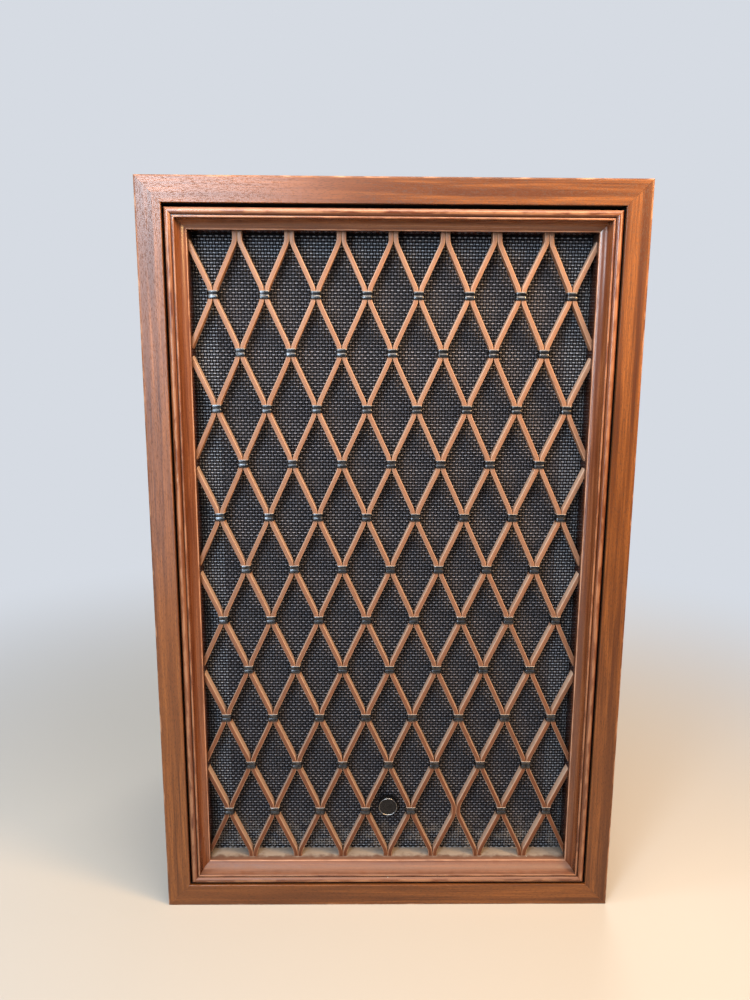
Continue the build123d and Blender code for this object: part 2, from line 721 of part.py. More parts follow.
def cone(centre, radius, lip, neck, depth, sheet, cap_height=None):
    """Paper cone with a flat lip; cap_height closes its neck with a dome of the same paper."""
    rim = -sheet
    flare = radius - lip
    slant = math.hypot(flare - neck, depth)
    neck_front = (neck, rim + depth)
    neck_back = (neck + PAPER * depth / slant, rim + depth + PAPER * (flare - neck) / slant)
    with BuildPart() as piece:
        with BuildSketch(section_plane(centre)):
            with BuildLine():
                Polyline((radius, rim), (flare, rim), neck_front)
                offset(amount=PAPER, side=Side.RIGHT)
            make_face()
            if cap_height:
                crown = rim + depth - cap_height
                with BuildLine():
                    TangentArc((0, crown), neck_front, tangent=(1, 0))
                    Line(neck_front, neck_back)
                    TangentArc((0, crown + PAPER), neck_back, tangent=(1, 0))
                    Line((0, crown + PAPER), (0, crown))
                make_face()
        revolve(axis=driver_axis(centre))
    return piece


def voice_coil(centre, radius, front, winding_front, winding_length):
    """Coil former with its winding at the back end."""
    with BuildPart() as piece:
        with BuildSketch(section_plane(centre)):
            with BuildLine():
                Polyline(
                    (radius, front),
                    (radius + FORMER_WALL, front),
                    (radius + FORMER_WALL, winding_front),
                    (radius + FORMER_WALL + WINDING, winding_front),
                    (radius + FORMER_WALL + WINDING, winding_front + winding_length),
                    (radius, winding_front + winding_length),
                    close=True,
                )
            make_face()
        revolve(axis=driver_axis(centre))
    return piece


def yoke(centre, plate_radius, plate, pole_radius, pole_front, plate_front):
    """Back plate of the magnet with its pole, which stands up through the coil."""
    with BuildPart() as piece:
        with BuildSketch(section_plane(centre)):
            with BuildLine():
                Polyline(
                    (0, pole_front),
                    (pole_radius, pole_front),
                    (pole_radius, plate_front),
                    (plate_radius, plate_front),
                    (plate_radius, plate_front + plate),
                    (0, plate_front + plate),
                    close=True,
                )
            make_face()
        revolve(axis=driver_axis(centre))
    return piece


def motor(
    name,
    centre,
    seat,
    sheet,
    coil_radius,
    coil_length,
    plate_radius,
    plate,
    magnet_radius,
    bore,
    magnet,
    neck,
):
    """Top plate, ring magnet, yoke and voice coil of one driver, stacked behind its frame."""
    plate_front = seat + sheet
    magnet_front = plate_front + plate
    yoke_front = magnet_front + magnet
    coil_outer = coil_radius + FORMER_WALL + WINDING
    winding_front = plate_front + plate / 2 - coil_length / 2
    magnet_y = baffle_y + magnet_front
    top_plate = ring(centre, plate_radius, coil_outer + COIL_GAP, baffle_y + plate_front, magnet_y)
    finish(top_plate, f"{name}_top_plate")
    finish(ring(centre, magnet_radius, bore, magnet_y, baffle_y + yoke_front), f"{name}_magnet")
    pole = yoke(centre, plate_radius, plate, coil_radius - COIL_GAP, plate_front, yoke_front)
    finish(pole, f"{name}_yoke")
    finish(voice_coil(centre, coil_radius, neck, winding_front, coil_length), f"{name}_voice_coil")


# Woofer frame: an open basket, its wall cut by windows between the spokes
woofer_shoulder = WOOFER_LANDING_RADIUS - WOOFER_LANDING
woofer_former = WOOFER_COIL_RADIUS + FORMER_WALL
woofer_bore = woofer_former + WINDING + SEAT_BORE
woofer_outline = [
    (woofer_radius, -WOOFER_SHEET),
    (woofer_wall, -WOOFER_SHEET),
    (WOOFER_LANDING_RADIUS, WOOFER_LANDING_DEPTH),
    (woofer_shoulder, WOOFER_LANDING_DEPTH),
    (woofer_shoulder, WOOFER_SEAT_DEPTH),
    (woofer_bore, WOOFER_SEAT_DEPTH),
]
woofer_frame = driver_frame(woofer, woofer_outline, WOOFER_SHEET, woofer_screws)
window_circle = (woofer_wall + WOOFER_LANDING_RADIUS) / 2
with BuildPart() as woofer_basket:
    add(woofer_frame.part)
    with BuildSketch(upright(baffle_y + WOOFER_SHEET, *woofer)) as windows:
        with PolarLocations(window_circle, WOOFER_WINDOWS):
            Trapezoid(WINDOW_WIDTH, WINDOW_LENGTH, WINDOW_ANGLE, rotation=90)
        fillet(windows.vertices(), WINDOW_CORNER)
    extrude(amount=-WOOFER_LANDING_DEPTH, mode=Mode.SUBTRACT)
finish(woofer_basket, "woofer_frame")
finish(
    surround(
        woofer,
        woofer_wall,
        WOOFER_RIM,
        WOOFER_ROLL,
        2,
        WOOFER_ROLL_HEIGHT,
        WOOFER_CONE_LIP - GLUE_GAP,
        WOOFER_SHEET,
    ),
    "woofer_surround",
)
gasket_back = baffle_y - WOOFER_SHEET - SURROUND_SHEET
finish(
    ring(
        woofer,
        woofer_wall + WOOFER_GASKET_WIDTH,
        woofer_wall + GLUE_GAP,
        gasket_back - WOOFER_GASKET,
        gasket_back,
    ),
    "woofer_gasket",
)
finish(
    spider(
        woofer,
        WOOFER_LANDING_RADIUS - WOOFER_SHEET,
        woofer_shoulder,
        woofer_former + GLUE_GAP,
        WOOFER_LANDING_DEPTH,
        WOOFER_SPIDER_WAVE,
    ),
    "woofer_spider",
)
woofer_neck = woofer_former + GLUE_GAP
finish(
    cone(
        woofer,
        woofer_cone_radius,
        WOOFER_CONE_LIP,
        woofer_neck,
        WOOFER_CONE_DEPTH,
        WOOFER_SHEET,
    ),
    "woofer_cone",
)

# Dust cap: a shallow dome glued on the front of the cone
woofer_flare = woofer_cone_radius - WOOFER_CONE_LIP
cap_share = (woofer_flare - WOOFER_CAP_RADIUS) / (woofer_flare - woofer_neck)
cap_base = WOOFER_CONE_DEPTH * cap_share - WOOFER_SHEET - PAPER - GLUE_GAP
cap_crown = cap_base - WOOFER_CAP_HEIGHT
with BuildPart() as woofer_dust_cap:
    with BuildSketch(section_plane(woofer)):
        with BuildLine():
            TangentArc((0, cap_crown), (WOOFER_CAP_RADIUS, cap_base), tangent=(1, 0))
            Line((WOOFER_CAP_RADIUS, cap_base), (WOOFER_CAP_RADIUS, cap_base + PAPER))
            TangentArc((0, cap_crown + PAPER), (WOOFER_CAP_RADIUS, cap_base + PAPER), tangent=(1, 0))
            Line((0, cap_crown + PAPER), (0, cap_crown))
        make_face()
    revolve(axis=driver_axis(woofer))
finish(woofer_dust_cap, "woofer_dust_cap")
motor(
    "woofer",
    woofer,
    WOOFER_SEAT_DEPTH,
    WOOFER_SHEET,
    WOOFER_COIL_RADIUS,
    WOOFER_COIL_LENGTH,
    WOOFER_PLATE_RADIUS,
    WOOFER_PLATE,
    WOOFER_MAGNET_RADIUS,
    WOOFER_MAGNET_BORE,
    WOOFER_MAGNET,
    WOOFER_CONE_DEPTH - WOOFER_SHEET,
)

# Midrange: the same build in a closed frame, with its dome pressed in one with the cone
midrange_shoulder = MIDRANGE_LANDING_RADIUS - MIDRANGE_LANDING
midrange_former = MIDRANGE_COIL_RADIUS + FORMER_WALL
midrange_outline = [
    (MIDRANGE_RADIUS, -SMALL_SHEET),
    (midrange_wall, -SMALL_SHEET),
    (MIDRANGE_LANDING_RADIUS, MIDRANGE_LANDING_DEPTH),
    (midrange_shoulder, MIDRANGE_LANDING_DEPTH),
    (midrange_shoulder, MIDRANGE_SEAT_DEPTH),
    (midrange_former + WINDING + SEAT_BORE, MIDRANGE_SEAT_DEPTH),
]
finish(driver_frame(midrange, midrange_outline, SMALL_SHEET, midrange_screws), "midrange_frame")
finish(
    surround(
        midrange,
        midrange_wall,
        SMALL_RIM,
        MIDRANGE_ROLL,
        1,
        MIDRANGE_ROLL_HEIGHT,
        SMALL_CONE_LIP - GLUE_GAP,
        SMALL_SHEET,
    ),
    "midrange_surround",
)
finish(
    spider(
        midrange,
        MIDRANGE_LANDING_RADIUS - SMALL_SHEET,
        midrange_shoulder,
        midrange_former + GLUE_GAP,
        MIDRANGE_LANDING_DEPTH,
        MIDRANGE_SPIDER_WAVE,
    ),
    "midrange_spider",
)
finish(
    cone(
        midrange,
        midrange_cone_radius,
        SMALL_CONE_LIP,
        midrange_former + GLUE_GAP,
        MIDRANGE_CONE_DEPTH,
        SMALL_SHEET,
        MIDRANGE_CAP_HEIGHT,
    ),
    "midrange_cone",
)
motor(
    "midrange",
    midrange,
    MIDRANGE_SEAT_DEPTH,
    SMALL_SHEET,
    MIDRANGE_COIL_RADIUS,
    MIDRANGE_COIL_LENGTH,
    MIDRANGE_PLATE_RADIUS,
    MIDRANGE_PLATE,
    MIDRANGE_MAGNET_RADIUS,
    MIDRANGE_MAGNET_BORE,
    MIDRANGE_MAGNET,
    MIDRANGE_CONE_DEPTH - SMALL_SHEET + PAPER + GLUE_GAP,
)

# Tweeter: a shallow cone, small enough to need no spider
tweeter_former = TWEETER_COIL_RADIUS + FORMER_WALL
tweeter_outline = [
    (TWEETER_RADIUS, -SMALL_SHEET),
    (tweeter_wall, -SMALL_SHEET),
    (TWEETER_THROAT_RADIUS, TWEETER_SEAT_DEPTH),
    (tweeter_former + WINDING + SEAT_BORE, TWEETER_SEAT_DEPTH),
]
finish(driver_frame(tweeter, tweeter_outline, SMALL_SHEET, tweeter_screws), "tweeter_frame")
finish(
    surround(
        tweeter,
        tweeter_wall,
        SMALL_RIM,
        TWEETER_ROLL,
        1,
        TWEETER_ROLL_HEIGHT,
        SMALL_CONE_LIP - GLUE_GAP,
        SMALL_SHEET,
    ),
    "tweeter_surround",
)
finish(
    cone(
        tweeter,
        tweeter_cone_radius,
        SMALL_CONE_LIP,
        tweeter_former + GLUE_GAP,
        TWEETER_CONE_DEPTH,
        SMALL_SHEET,
        TWEETER_CAP_HEIGHT,
    ),
    "tweeter_cone",
)
motor(
    "tweeter",
    tweeter,
    TWEETER_SEAT_DEPTH,
    SMALL_SHEET,
    TWEETER_COIL_RADIUS,
    TWEETER_COIL_LENGTH,
    TWEETER_PLATE_RADIUS,
    TWEETER_PLATE,
    TWEETER_MAGNET_RADIUS,
    TWEETER_MAGNET_BORE,
    TWEETER_MAGNET,
    TWEETER_CONE_DEPTH - SMALL_SHEET + PAPER + GLUE_GAP,
)

# Terminal plate: carries the two terminal posts and the two level controls
with BuildPart() as terminal_plate:
    with BuildSketch(upright(back_outer_y)):
        with Locations((0, TERMINAL_HEIGHT)):
            RectangleRounded(TERMINAL_PLATE_WIDTH, TERMINAL_PLATE_HEIGHT, TERMINAL_PLATE_CORNER)
        with Locations(*terminal_screw_places):
            Circle(SCREW_RADIUS + SCREW_FIT, mode=Mode.SUBTRACT)
        with Locations(*post_places):
            Circle(POST_RADIUS + SCREW_FIT, mode=Mode.SUBTRACT)
        with Locations(*control_places):
            Circle(BUSHING_RADIUS + SCREW_FIT, mode=Mode.SUBTRACT)
    extrude(amount=-TERMINAL_PLATE)
finish(terminal_plate, "terminal_plate")

# Terminal posts: a stud with a collar outside the plate and a nut behind it
washer_y = plate_y + POST_BASE + NUT_GAP
nut_y = washer_y + WASHER + NUT_GAP
stud_inner_y = back_outer_y - POST_NUT - POST_TAIL
stud_outer_y = nut_y + THUMB_NUT + NUT_TRAVEL + POST_END
with BuildPart() as terminal_posts:
    with BuildSketch(upright(plate_y)):
        with Locations(*post_places):
            Circle(POST_BASE_RADIUS)
    extrude(amount=-POST_BASE)
    with BuildSketch(upright(back_outer_y)):
        with Locations(*post_places):
            RegularPolygon(POST_NUT_RADIUS, 6)
    extrude(amount=POST_NUT)
    with BuildSketch(upright(stud_inner_y)):
        with Locations(*post_places):
            Circle(POST_RADIUS)
    extrude(amount=stud_inner_y - stud_outer_y)
finish(terminal_posts, "terminal_posts")


def thumb_nut(centre):
    """Knurled nut that turns on a terminal post."""
    with BuildPart() as nut:
        with BuildSketch(upright(nut_y, *centre)):
            Circle(THUMB_NUT_RADIUS)
            with PolarLocations(THUMB_NUT_RADIUS, THUMB_NUT_FLUTES):
                Circle(THUMB_NUT_FLUTE_RADIUS, mode=Mode.SUBTRACT)
            Circle(POST_RADIUS + THREAD_CLEARANCE, mode=Mode.SUBTRACT)
        extrude(amount=-THUMB_NUT)
    return nut


for hand, place in zip(("left", "right"), post_places):
    washer = ring(place, WASHER_RADIUS, POST_RADIUS + THREAD_CLEARANCE, washer_y, washer_y + WASHER)
    finish(washer, f"terminal_washer_{hand}")
    finish(thumb_nut(place), f"terminal_nut_{hand}")

# Level controls: a can behind the plate, with a bushing through it that takes the knob's shaft
bushing_y = plate_y + BUSHING_STAND
with BuildPart() as level_controls:
    with BuildSketch(upright(back_outer_y)):
        with Locations(*control_places):
            Circle(CONTROL_RADIUS)
    extrude(amount=CONTROL_LENGTH)
    with BuildSketch(upright(back_outer_y)):
        with Locations(*control_places):
            Circle(BUSHING_RADIUS)
    extrude(amount=back_outer_y - bushing_y)
    with BuildSketch(upright(bushing_y)):
        with Locations(*control_places):
            Circle(SHAFT_RADIUS + SHAFT_CLEARANCE)
    extrude(amount=SHAFT_REACH + SHAFT_END_GAP, mode=Mode.SUBTRACT)
finish(level_controls, "level_controls")


def level_knob(centre):
    """Tapered knob with a pointer slot in its face and its shaft behind it."""
    knob_y = bushing_y + KNOB_GAP
    with BuildPart() as knob:
        with BuildSketch(upright(knob_y, *centre)):
            Circle(KNOB_RADIUS)
        extrude(amount=-KNOB_LENGTH, taper=KNOB_TAPER)
        with BuildSketch(upright(knob_y + KNOB_LENGTH, *centre)):
            with Locations((0, KNOB_RADIUS / 2)):
                Rectangle(KNOB_SLOT, KNOB_RADIUS)
        extrude(amount=KNOB_SLOT_DEPTH, mode=Mode.SUBTRACT)
        with BuildSketch(upright(knob_y, *centre)):
            Circle(SHAFT_RADIUS)
        extrude(amount=KNOB_GAP + SHAFT_REACH)
    return knob


finish(level_knob(control_places[0]), "midrange_level_knob")
finish(level_knob(control_places[1]), "tweeter_level_knob")

# Crossover: a small board on the floor of the box with two air-cored coils and a row of capacitors
with BuildPart() as crossover_board:
    with BuildSketch(Plane.XY.offset(WALL)):
        with Locations((0, crossover_y)):
            Rectangle(CROSSOVER_WIDTH, CROSSOVER_LENGTH)
    extrude(amount=CROSSOVER_BOARD)
finish(crossover_board, "crossover_board")

coil_places = [(side * COIL_SPACING / 2, crossover_y - COIL_ROW) for side in (-1, 1)]
with BuildPart() as crossover_coils:
    with BuildSketch(Plane.XY.offset(crossover_top)):
        with Locations(*coil_places):
            Circle(COIL_WINDING_RADIUS)
    extrude(amount=COIL_HEIGHT)
    for flange_height in (crossover_top, crossover_top + COIL_HEIGHT - COIL_FLANGE):
        with BuildSketch(Plane.XY.offset(flange_height)):
            with Locations(*coil_places):
                Circle(COIL_FLANGE_RADIUS)
        extrude(amount=COIL_FLANGE)
    with BuildSketch(Plane.XY.offset(crossover_top)):
        with Locations(*coil_places):
            Circle(COIL_BORE)
    extrude(amount=COIL_HEIGHT, mode=Mode.SUBTRACT)
finish(crossover_coils, "crossover_coils")

capacitor_z = crossover_top + CAPACITOR_RADIUS + CAPACITOR_FIT
with BuildPart() as crossover_capacitors:
    with BuildSketch(upright(crossover_y + CAPACITOR_ROW - CAPACITOR_LENGTH / 2, 0, capacitor_z)):
        with GridLocations(CAPACITOR_SPACING, 0, CAPACITOR_COUNT, 1):
            Circle(CAPACITOR_RADIUS)
    extrude(amount=-CAPACITOR_LENGTH)
finish(crossover_capacitors, "crossover_capacitors")

# Wadding: a pad on each side wall and one on the back panel above the terminals
pad_front_y = baffle_back_y + CLEAT + PAD_CHANNEL
pad_back_y = back_inner_y - CLEAT
pad_bottom = WALL + PAD_INSET
pad_top = HEIGHT - WALL - PAD_INSET
back_pad_bottom = TERMINAL_HEIGHT + TERMINAL_PLATE_HEIGHT / 2 + PAD_INSET
with BuildPart() as damping_pads:
    for side in (-1, 1):
        with BuildSketch(Plane.XY.offset(pad_bottom)) as pad:
            with Locations((side * (inner_width - PAD_THICKNESS) / 2, (pad_front_y + pad_back_y) / 2)):
                Rectangle(PAD_THICKNESS, pad_back_y - pad_front_y)
            fillet(pad.vertices().sort_by(lambda corner: abs(corner.X))[:2], PAD_CORNER)
        extrude(amount=pad_top - pad_bottom)
    with BuildSketch(Plane.XY.offset(back_pad_bottom)) as pad:
        with Locations((0, back_inner_y - PAD_THICKNESS / 2)):
            Rectangle(inner_width - 2 * CLEAT - 2 * PAD_INSET, PAD_THICKNESS)
        fillet(pad.vertices().group_by(Axis.Y)[0], PAD_CORNER)
    extrude(amount=pad_top - back_pad_bottom)
finish(damping_pads, "damping_pads")


# Leads: from the terminals and level controls to the crossover, and from there to the drivers
def lead(points):
    """Round cable through these points, with an arc at each bend."""
    with BuildPart() as cable:
        with BuildLine() as route:
            FilletPolyline(*points, radius=LEAD_BEND)
        with BuildSketch(Plane(origin=route.line @ 0, z_dir=route.line % 0)):
            Circle(LEAD_RADIUS)
        sweep(path=route.line)
    return cable.part


board_rear_y = crossover_y + CROSSOVER_LENGTH / 2 - LEAD_INSET
board_front_y = crossover_y - CROSSOVER_LENGTH / 2 + LEAD_INSET
board_end_x = CROSSOVER_WIDTH / 2 - LEAD_INSET
board_z = crossover_top + LEAD_FIT
wall_x = inner_width / 2 - LEAD_RADIUS - LEAD_FIT
channel_y = baffle_back_y + CLEAT + PAD_CHANNEL / 2
shoulder_y = baffle_y + (WOOFER_LANDING_DEPTH + WOOFER_SEAT_DEPTH) / 2 + WOOFER_SHEET
shoulder_z = woofer[1] - woofer_shoulder - WOOFER_SHEET - LEAD_FIT
midrange_tag_x = midrange[0] - midrange_shoulder - SMALL_SHEET - LEAD_FIT
midrange_tag_y = baffle_y + (MIDRANGE_LANDING_DEPTH + MIDRANGE_SEAT_DEPTH) / 2 + SMALL_SHEET
tweeter_motor = TWEETER_SEAT_DEPTH + SMALL_SHEET + 2 * TWEETER_PLATE + TWEETER_MAGNET
tweeter_tag_y = baffle_y + tweeter_motor + LEAD_FIT
routes = []
for x, z in post_places:
    start_y = stud_inner_y - LEAD_FIT
    routes.append([(x, start_y, z), (x, board_rear_y, z), (x, board_rear_y, board_z)])
for x, z in control_places:
    start_y = back_outer_y - CONTROL_LENGTH - LEAD_FIT
    routes.append([(x, start_y, z), (x, board_rear_y, z), (x, board_rear_y, board_z)])
routes.append(
    [
        (0, board_front_y, board_z),
        (0, board_front_y, board_z + LEAD_RISE),
        (0, shoulder_y, shoulder_z - LEAD_RISE),
        (0, shoulder_y, shoulder_z),
    ]
)
routes.append(
    [
        (-board_end_x, board_front_y, board_z),
        (-board_end_x, board_front_y, board_z + LEAD_RISE),
        (-wall_x, channel_y, pad_bottom + LEAD_RISE),
        (-wall_x, channel_y, midrange[1] - LEAD_RISE),
        (midrange_tag_x - LEAD_RISE, midrange_tag_y, midrange[1]),
        (midrange_tag_x, midrange_tag_y, midrange[1]),
    ]
)
routes.append(
    [
        (board_end_x, board_front_y, board_z),
        (board_end_x, board_front_y, board_z + LEAD_RISE),
        (wall_x, channel_y, pad_bottom + LEAD_RISE),
        (wall_x, channel_y, tweeter[1] - LEAD_RISE),
        (tweeter[0], tweeter_tag_y + LEAD_RISE, tweeter[1]),
        (tweeter[0], tweeter_tag_y, tweeter[1]),
    ]
)
with BuildPart() as wiring_leads:
    for route_points in routes:
        add(lead(route_points))
finish(wiring_leads, "wiring_leads")
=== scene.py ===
import math

import bmesh
import bpy
import numpy as np
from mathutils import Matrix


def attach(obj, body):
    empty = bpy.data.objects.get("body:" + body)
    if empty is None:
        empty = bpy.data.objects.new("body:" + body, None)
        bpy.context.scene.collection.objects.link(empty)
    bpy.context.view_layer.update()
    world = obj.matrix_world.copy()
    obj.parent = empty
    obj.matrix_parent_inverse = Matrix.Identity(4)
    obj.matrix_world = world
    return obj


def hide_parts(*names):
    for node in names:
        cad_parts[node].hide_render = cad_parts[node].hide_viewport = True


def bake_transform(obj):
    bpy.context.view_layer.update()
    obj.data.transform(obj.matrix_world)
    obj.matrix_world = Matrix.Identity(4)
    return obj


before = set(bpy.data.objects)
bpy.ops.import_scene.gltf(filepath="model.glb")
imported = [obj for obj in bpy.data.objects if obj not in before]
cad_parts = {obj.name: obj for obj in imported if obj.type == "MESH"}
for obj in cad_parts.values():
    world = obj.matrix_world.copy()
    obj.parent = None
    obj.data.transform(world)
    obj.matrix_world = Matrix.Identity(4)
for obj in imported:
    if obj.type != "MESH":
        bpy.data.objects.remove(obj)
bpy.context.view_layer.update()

# The room: a pale floor under an even pale sky, lit by cool panels on the left, warm ones on the right, one
# overhead and one behind. The camera stands where the photograph was taken from, a little above the speaker's
# middle and turned slightly down.


def paint(red, green, blue):
    """Screen colour from 0 to 255, made linear: the usual power curve above a short straight foot."""
    share = np.array([red, green, blue]) / 255.0
    linear = np.where(share <= 0.04045, share / 12.92, ((share + 0.055) / 1.055) ** 2.4)
    return (*linear.tolist(), 1.0)


def place(mesh, material):
    """Puts a mesh into the scene at the origin, under the mesh's name and with one material."""
    piece = bpy.data.objects.new(mesh.name, mesh)
    bpy.context.scene.collection.objects.link(piece)
    mesh.materials.append(material)
    return piece


def feed(socket, value):
    """Links a socket to another one of its node tree, or sets its value."""
    if isinstance(value, bpy.types.NodeSocket):
        socket.id_data.links.new(value, socket)
    else:
        socket.default_value = value


def add_node(tree, kind, inputs=None, **settings):
    """One shader node with its settings, and its inputs filled by name or number."""
    node = tree.nodes.new(kind)
    for key, value in settings.items():
        setattr(node, key, value)
    for key, value in (inputs or {}).items():
        feed(node.inputs[key], value)
    return node


def finish(name, inputs=None):
    """New material with one Principled shader. Returns the material, its node tree and the shader."""
    material = bpy.data.materials.new(name)
    material.use_nodes = True
    tree = material.node_tree
    shader = tree.nodes["Principled BSDF"]
    for key, value in (inputs or {}).items():
        feed(shader.inputs[key], value)
    return material, tree, shader


def math_of(operation, first, second=0.0):
    """One arithmetic node, in the node tree that its first value comes from."""
    inputs = {0: first, 1: second}
    return add_node(first.id_data, "ShaderNodeMath", inputs, operation=operation).outputs[0]


def times(first, second):
    """One value times another."""
    return math_of("MULTIPLY", first, second)


def vector_math(operation, first, second=(0.0, 0.0, 0.0)):
    """One node of arithmetic on vectors. A length comes out as a value, all else as a vector."""
    inputs = {0: first, 1: second}
    node = add_node(first.id_data, "ShaderNodeVectorMath", inputs, operation=operation)
    return node.outputs["Value" if operation == "LENGTH" else "Vector"]


def fade(value, low, high):
    """0 below low, 1 above high and a smooth step between; the other way round where low is the larger."""
    inputs = {0: value, 1: low, 2: high}
    return add_node(value.id_data, "ShaderNodeMapRange", inputs, interpolation_type="SMOOTHSTEP").outputs[0]


def object_spot(tree):
    """The object's own coordinates, in metres."""
    return add_node(tree, "ShaderNodeTexCoord").outputs["Object"]


floor_reach = 12.0
floor_corners = [(-1, -1), (1, -1), (1, 1), (-1, 1)]
floor_points = [(x * floor_reach, y * floor_reach, 0.0) for x, y in floor_corners]
floor_mesh = bpy.data.meshes.new("studio_floor")
floor_mesh.from_pydata(floor_points, [], [(0, 1, 2, 3)])
backdrop_colour = paint(214, 219, 227)
# Between these distances from the middle, the floor that the camera sees turns into the backdrop.
floor_end = (0.25, 1.1)
floor_paint, floor_tree, floor_shader = finish(
    "studio_floor", {"Base Color": paint(190, 186, 179), "Roughness": 0.7}
)
floor_far = fade(vector_math("LENGTH", object_spot(floor_tree)), *floor_end)
floor_seen = add_node(floor_tree, "ShaderNodeLightPath").outputs["Is Camera Ray"]
floor_glow = add_node(floor_tree, "ShaderNodeEmission", {"Color": backdrop_colour, "Strength": 1.0})
floor_share = times(floor_far, floor_seen)
floor_looks = {0: floor_share, 1: floor_shader.outputs[0], 2: floor_glow.outputs[0]}
floor_mix = add_node(floor_tree, "ShaderNodeMixShader", floor_looks)
feed(floor_tree.nodes["Material Output"].inputs["Surface"], floor_mix.outputs[0])
place(floor_mesh, floor_paint)

world = bpy.data.worlds.new("studio")
bpy.context.scene.world = world
world.use_nodes = True
sky = world.node_tree
sky_light = sky.nodes["Background"]
sky_light.inputs["Color"].default_value = paint(232, 236, 242)
sky_light.inputs["Strength"].default_value = 0.14
sky_seen = add_node(sky, "ShaderNodeBackground", {"Color": backdrop_colour, "Strength": 1.0})
ray = add_node(sky, "ShaderNodeLightPath")
seen_direct = math_of("MAXIMUM", ray.outputs["Is Camera Ray"], ray.outputs["Is Glossy Ray"])
seen = math_of("MAXIMUM", seen_direct, ray.outputs["Is Transmission Ray"])
sky_looks = {0: seen, 1: sky_light.outputs[0], 2: sky_seen.outputs[0]}
sky_choice = add_node(sky, "ShaderNodeMixShader", sky_looks)
feed(sky.nodes["World Output"].inputs["Surface"], sky_choice.outputs[0])


def panel_lamp(name, centre, aim, width, height, power, colour):
    """Soft rectangular lamp at centre, facing the point aim; sizes in metres, power in watts."""
    lamp = bpy.data.lights.new(name, "AREA")
    lamp.shape = "RECTANGLE"
    lamp.size = width
    lamp.size_y = height
    lamp.energy = power
    lamp.color = paint(*colour)[:3]
    back = np.subtract(centre, aim)
    back = back / np.linalg.norm(back)
    across = np.cross((0.0, 0.0, 1.0), back)
    across = across / np.linalg.norm(across)
    turn = np.eye(4)
    turn[:3, :3] = np.stack([across, np.cross(back, across), back], axis=1)
    turn[:3, 3] = centre
    holder = bpy.data.objects.new(name, lamp)
    holder.matrix_world = turn.T
    holder.visible_camera = False
    bpy.context.scene.collection.objects.link(holder)


panel_lamp("panel_left", (-0.43, -0.95, 0.76), (0.0, -0.15, 0.50), 0.22, 0.66, 4.7, (216, 238, 255))
panel_lamp("panel_low", (-0.43, -0.95, 0.27), (-0.18, -0.15, 0.35), 0.15, 0.42, 1.3, (222, 238, 255))
panel_lamp("panel_high", (-0.33, -0.95, 0.80), (-0.1, -0.15, 0.58), 0.36, 0.15, 3.6, (214, 238, 255))
panel_lamp("panel_side", (-1.00, -0.40, 0.88), (0.0, -0.13, 0.48), 0.26, 0.5, 4.8, (234, 244, 255))
panel_lamp("panel_above", (-0.02, -0.45, 0.92), (0.04, -0.15, 0.55), 0.7, 0.3, 6.6, (255, 236, 212))
panel_lamp("panel_right", (0.62, -0.52, 0.95), (0.10, -0.14, 0.58), 0.30, 0.34, 9.0, (255, 206, 146))
panel_lamp("panel_near", (0.46, -0.42, 0.72), (0.19, -0.15, 0.50), 0.14, 0.20, 2.0, (255, 204, 138))
panel_lamp("panel_back", (0.35, 1.40, 1.00), (0.0, 0.15, 0.25), 1.0, 0.7, 17.0, (255, 250, 244))

camera_place = (-0.0201, -0.7263, 0.4646)
camera_yaw = math.radians(0.68)
camera_pitch = math.radians(-10.43)
camera_roll = math.radians(0.32)
image_height = 1000.0
focal_pixels = 753.0
forward = np.array(
    [
        math.sin(camera_yaw) * math.cos(camera_pitch),
        math.cos(camera_yaw) * math.cos(camera_pitch),
        math.sin(camera_pitch),
    ]
)
level = np.array([math.cos(camera_yaw), -math.sin(camera_yaw), 0.0])
upward = np.cross(level, forward)
camera_turn = np.eye(4)
camera_turn[:3, 0] = math.cos(camera_roll) * level + math.sin(camera_roll) * upward
camera_turn[:3, 1] = math.cos(camera_roll) * upward - math.sin(camera_roll) * level
camera_turn[:3, 2] = -forward
camera_turn[:3, 3] = camera_place
lens = bpy.data.cameras.new("photo_camera")
lens.sensor_fit = "VERTICAL"
lens.sensor_height = 36.0
lens.lens = lens.sensor_height * focal_pixels / image_height
lens.clip_start = 0.01
camera = bpy.data.objects.new("photo_camera", lens)
camera.matrix_world = camera_turn.T
bpy.context.scene.collection.objects.link(camera)
bpy.context.scene.camera = camera
bpy.context.scene.view_settings.view_transform = "Standard"

# Cabinet: four boards of particle board under walnut veneer, mitred and glued at the corners.
# The veneer's grain runs along each edge; the edges are eased by hand and rubbed pale in places.
MM = 0.001
cabinet_width = 380 * MM
cabinet_height = 597 * MM
cabinet_depth = 292 * MM
wall = 19 * MM
front_y = -cabinet_depth / 2
mitre_hairline = 0.06 * MM
merge_distance = 0.0001 * MM
side_names = ("top", "bottom", "left", "right")


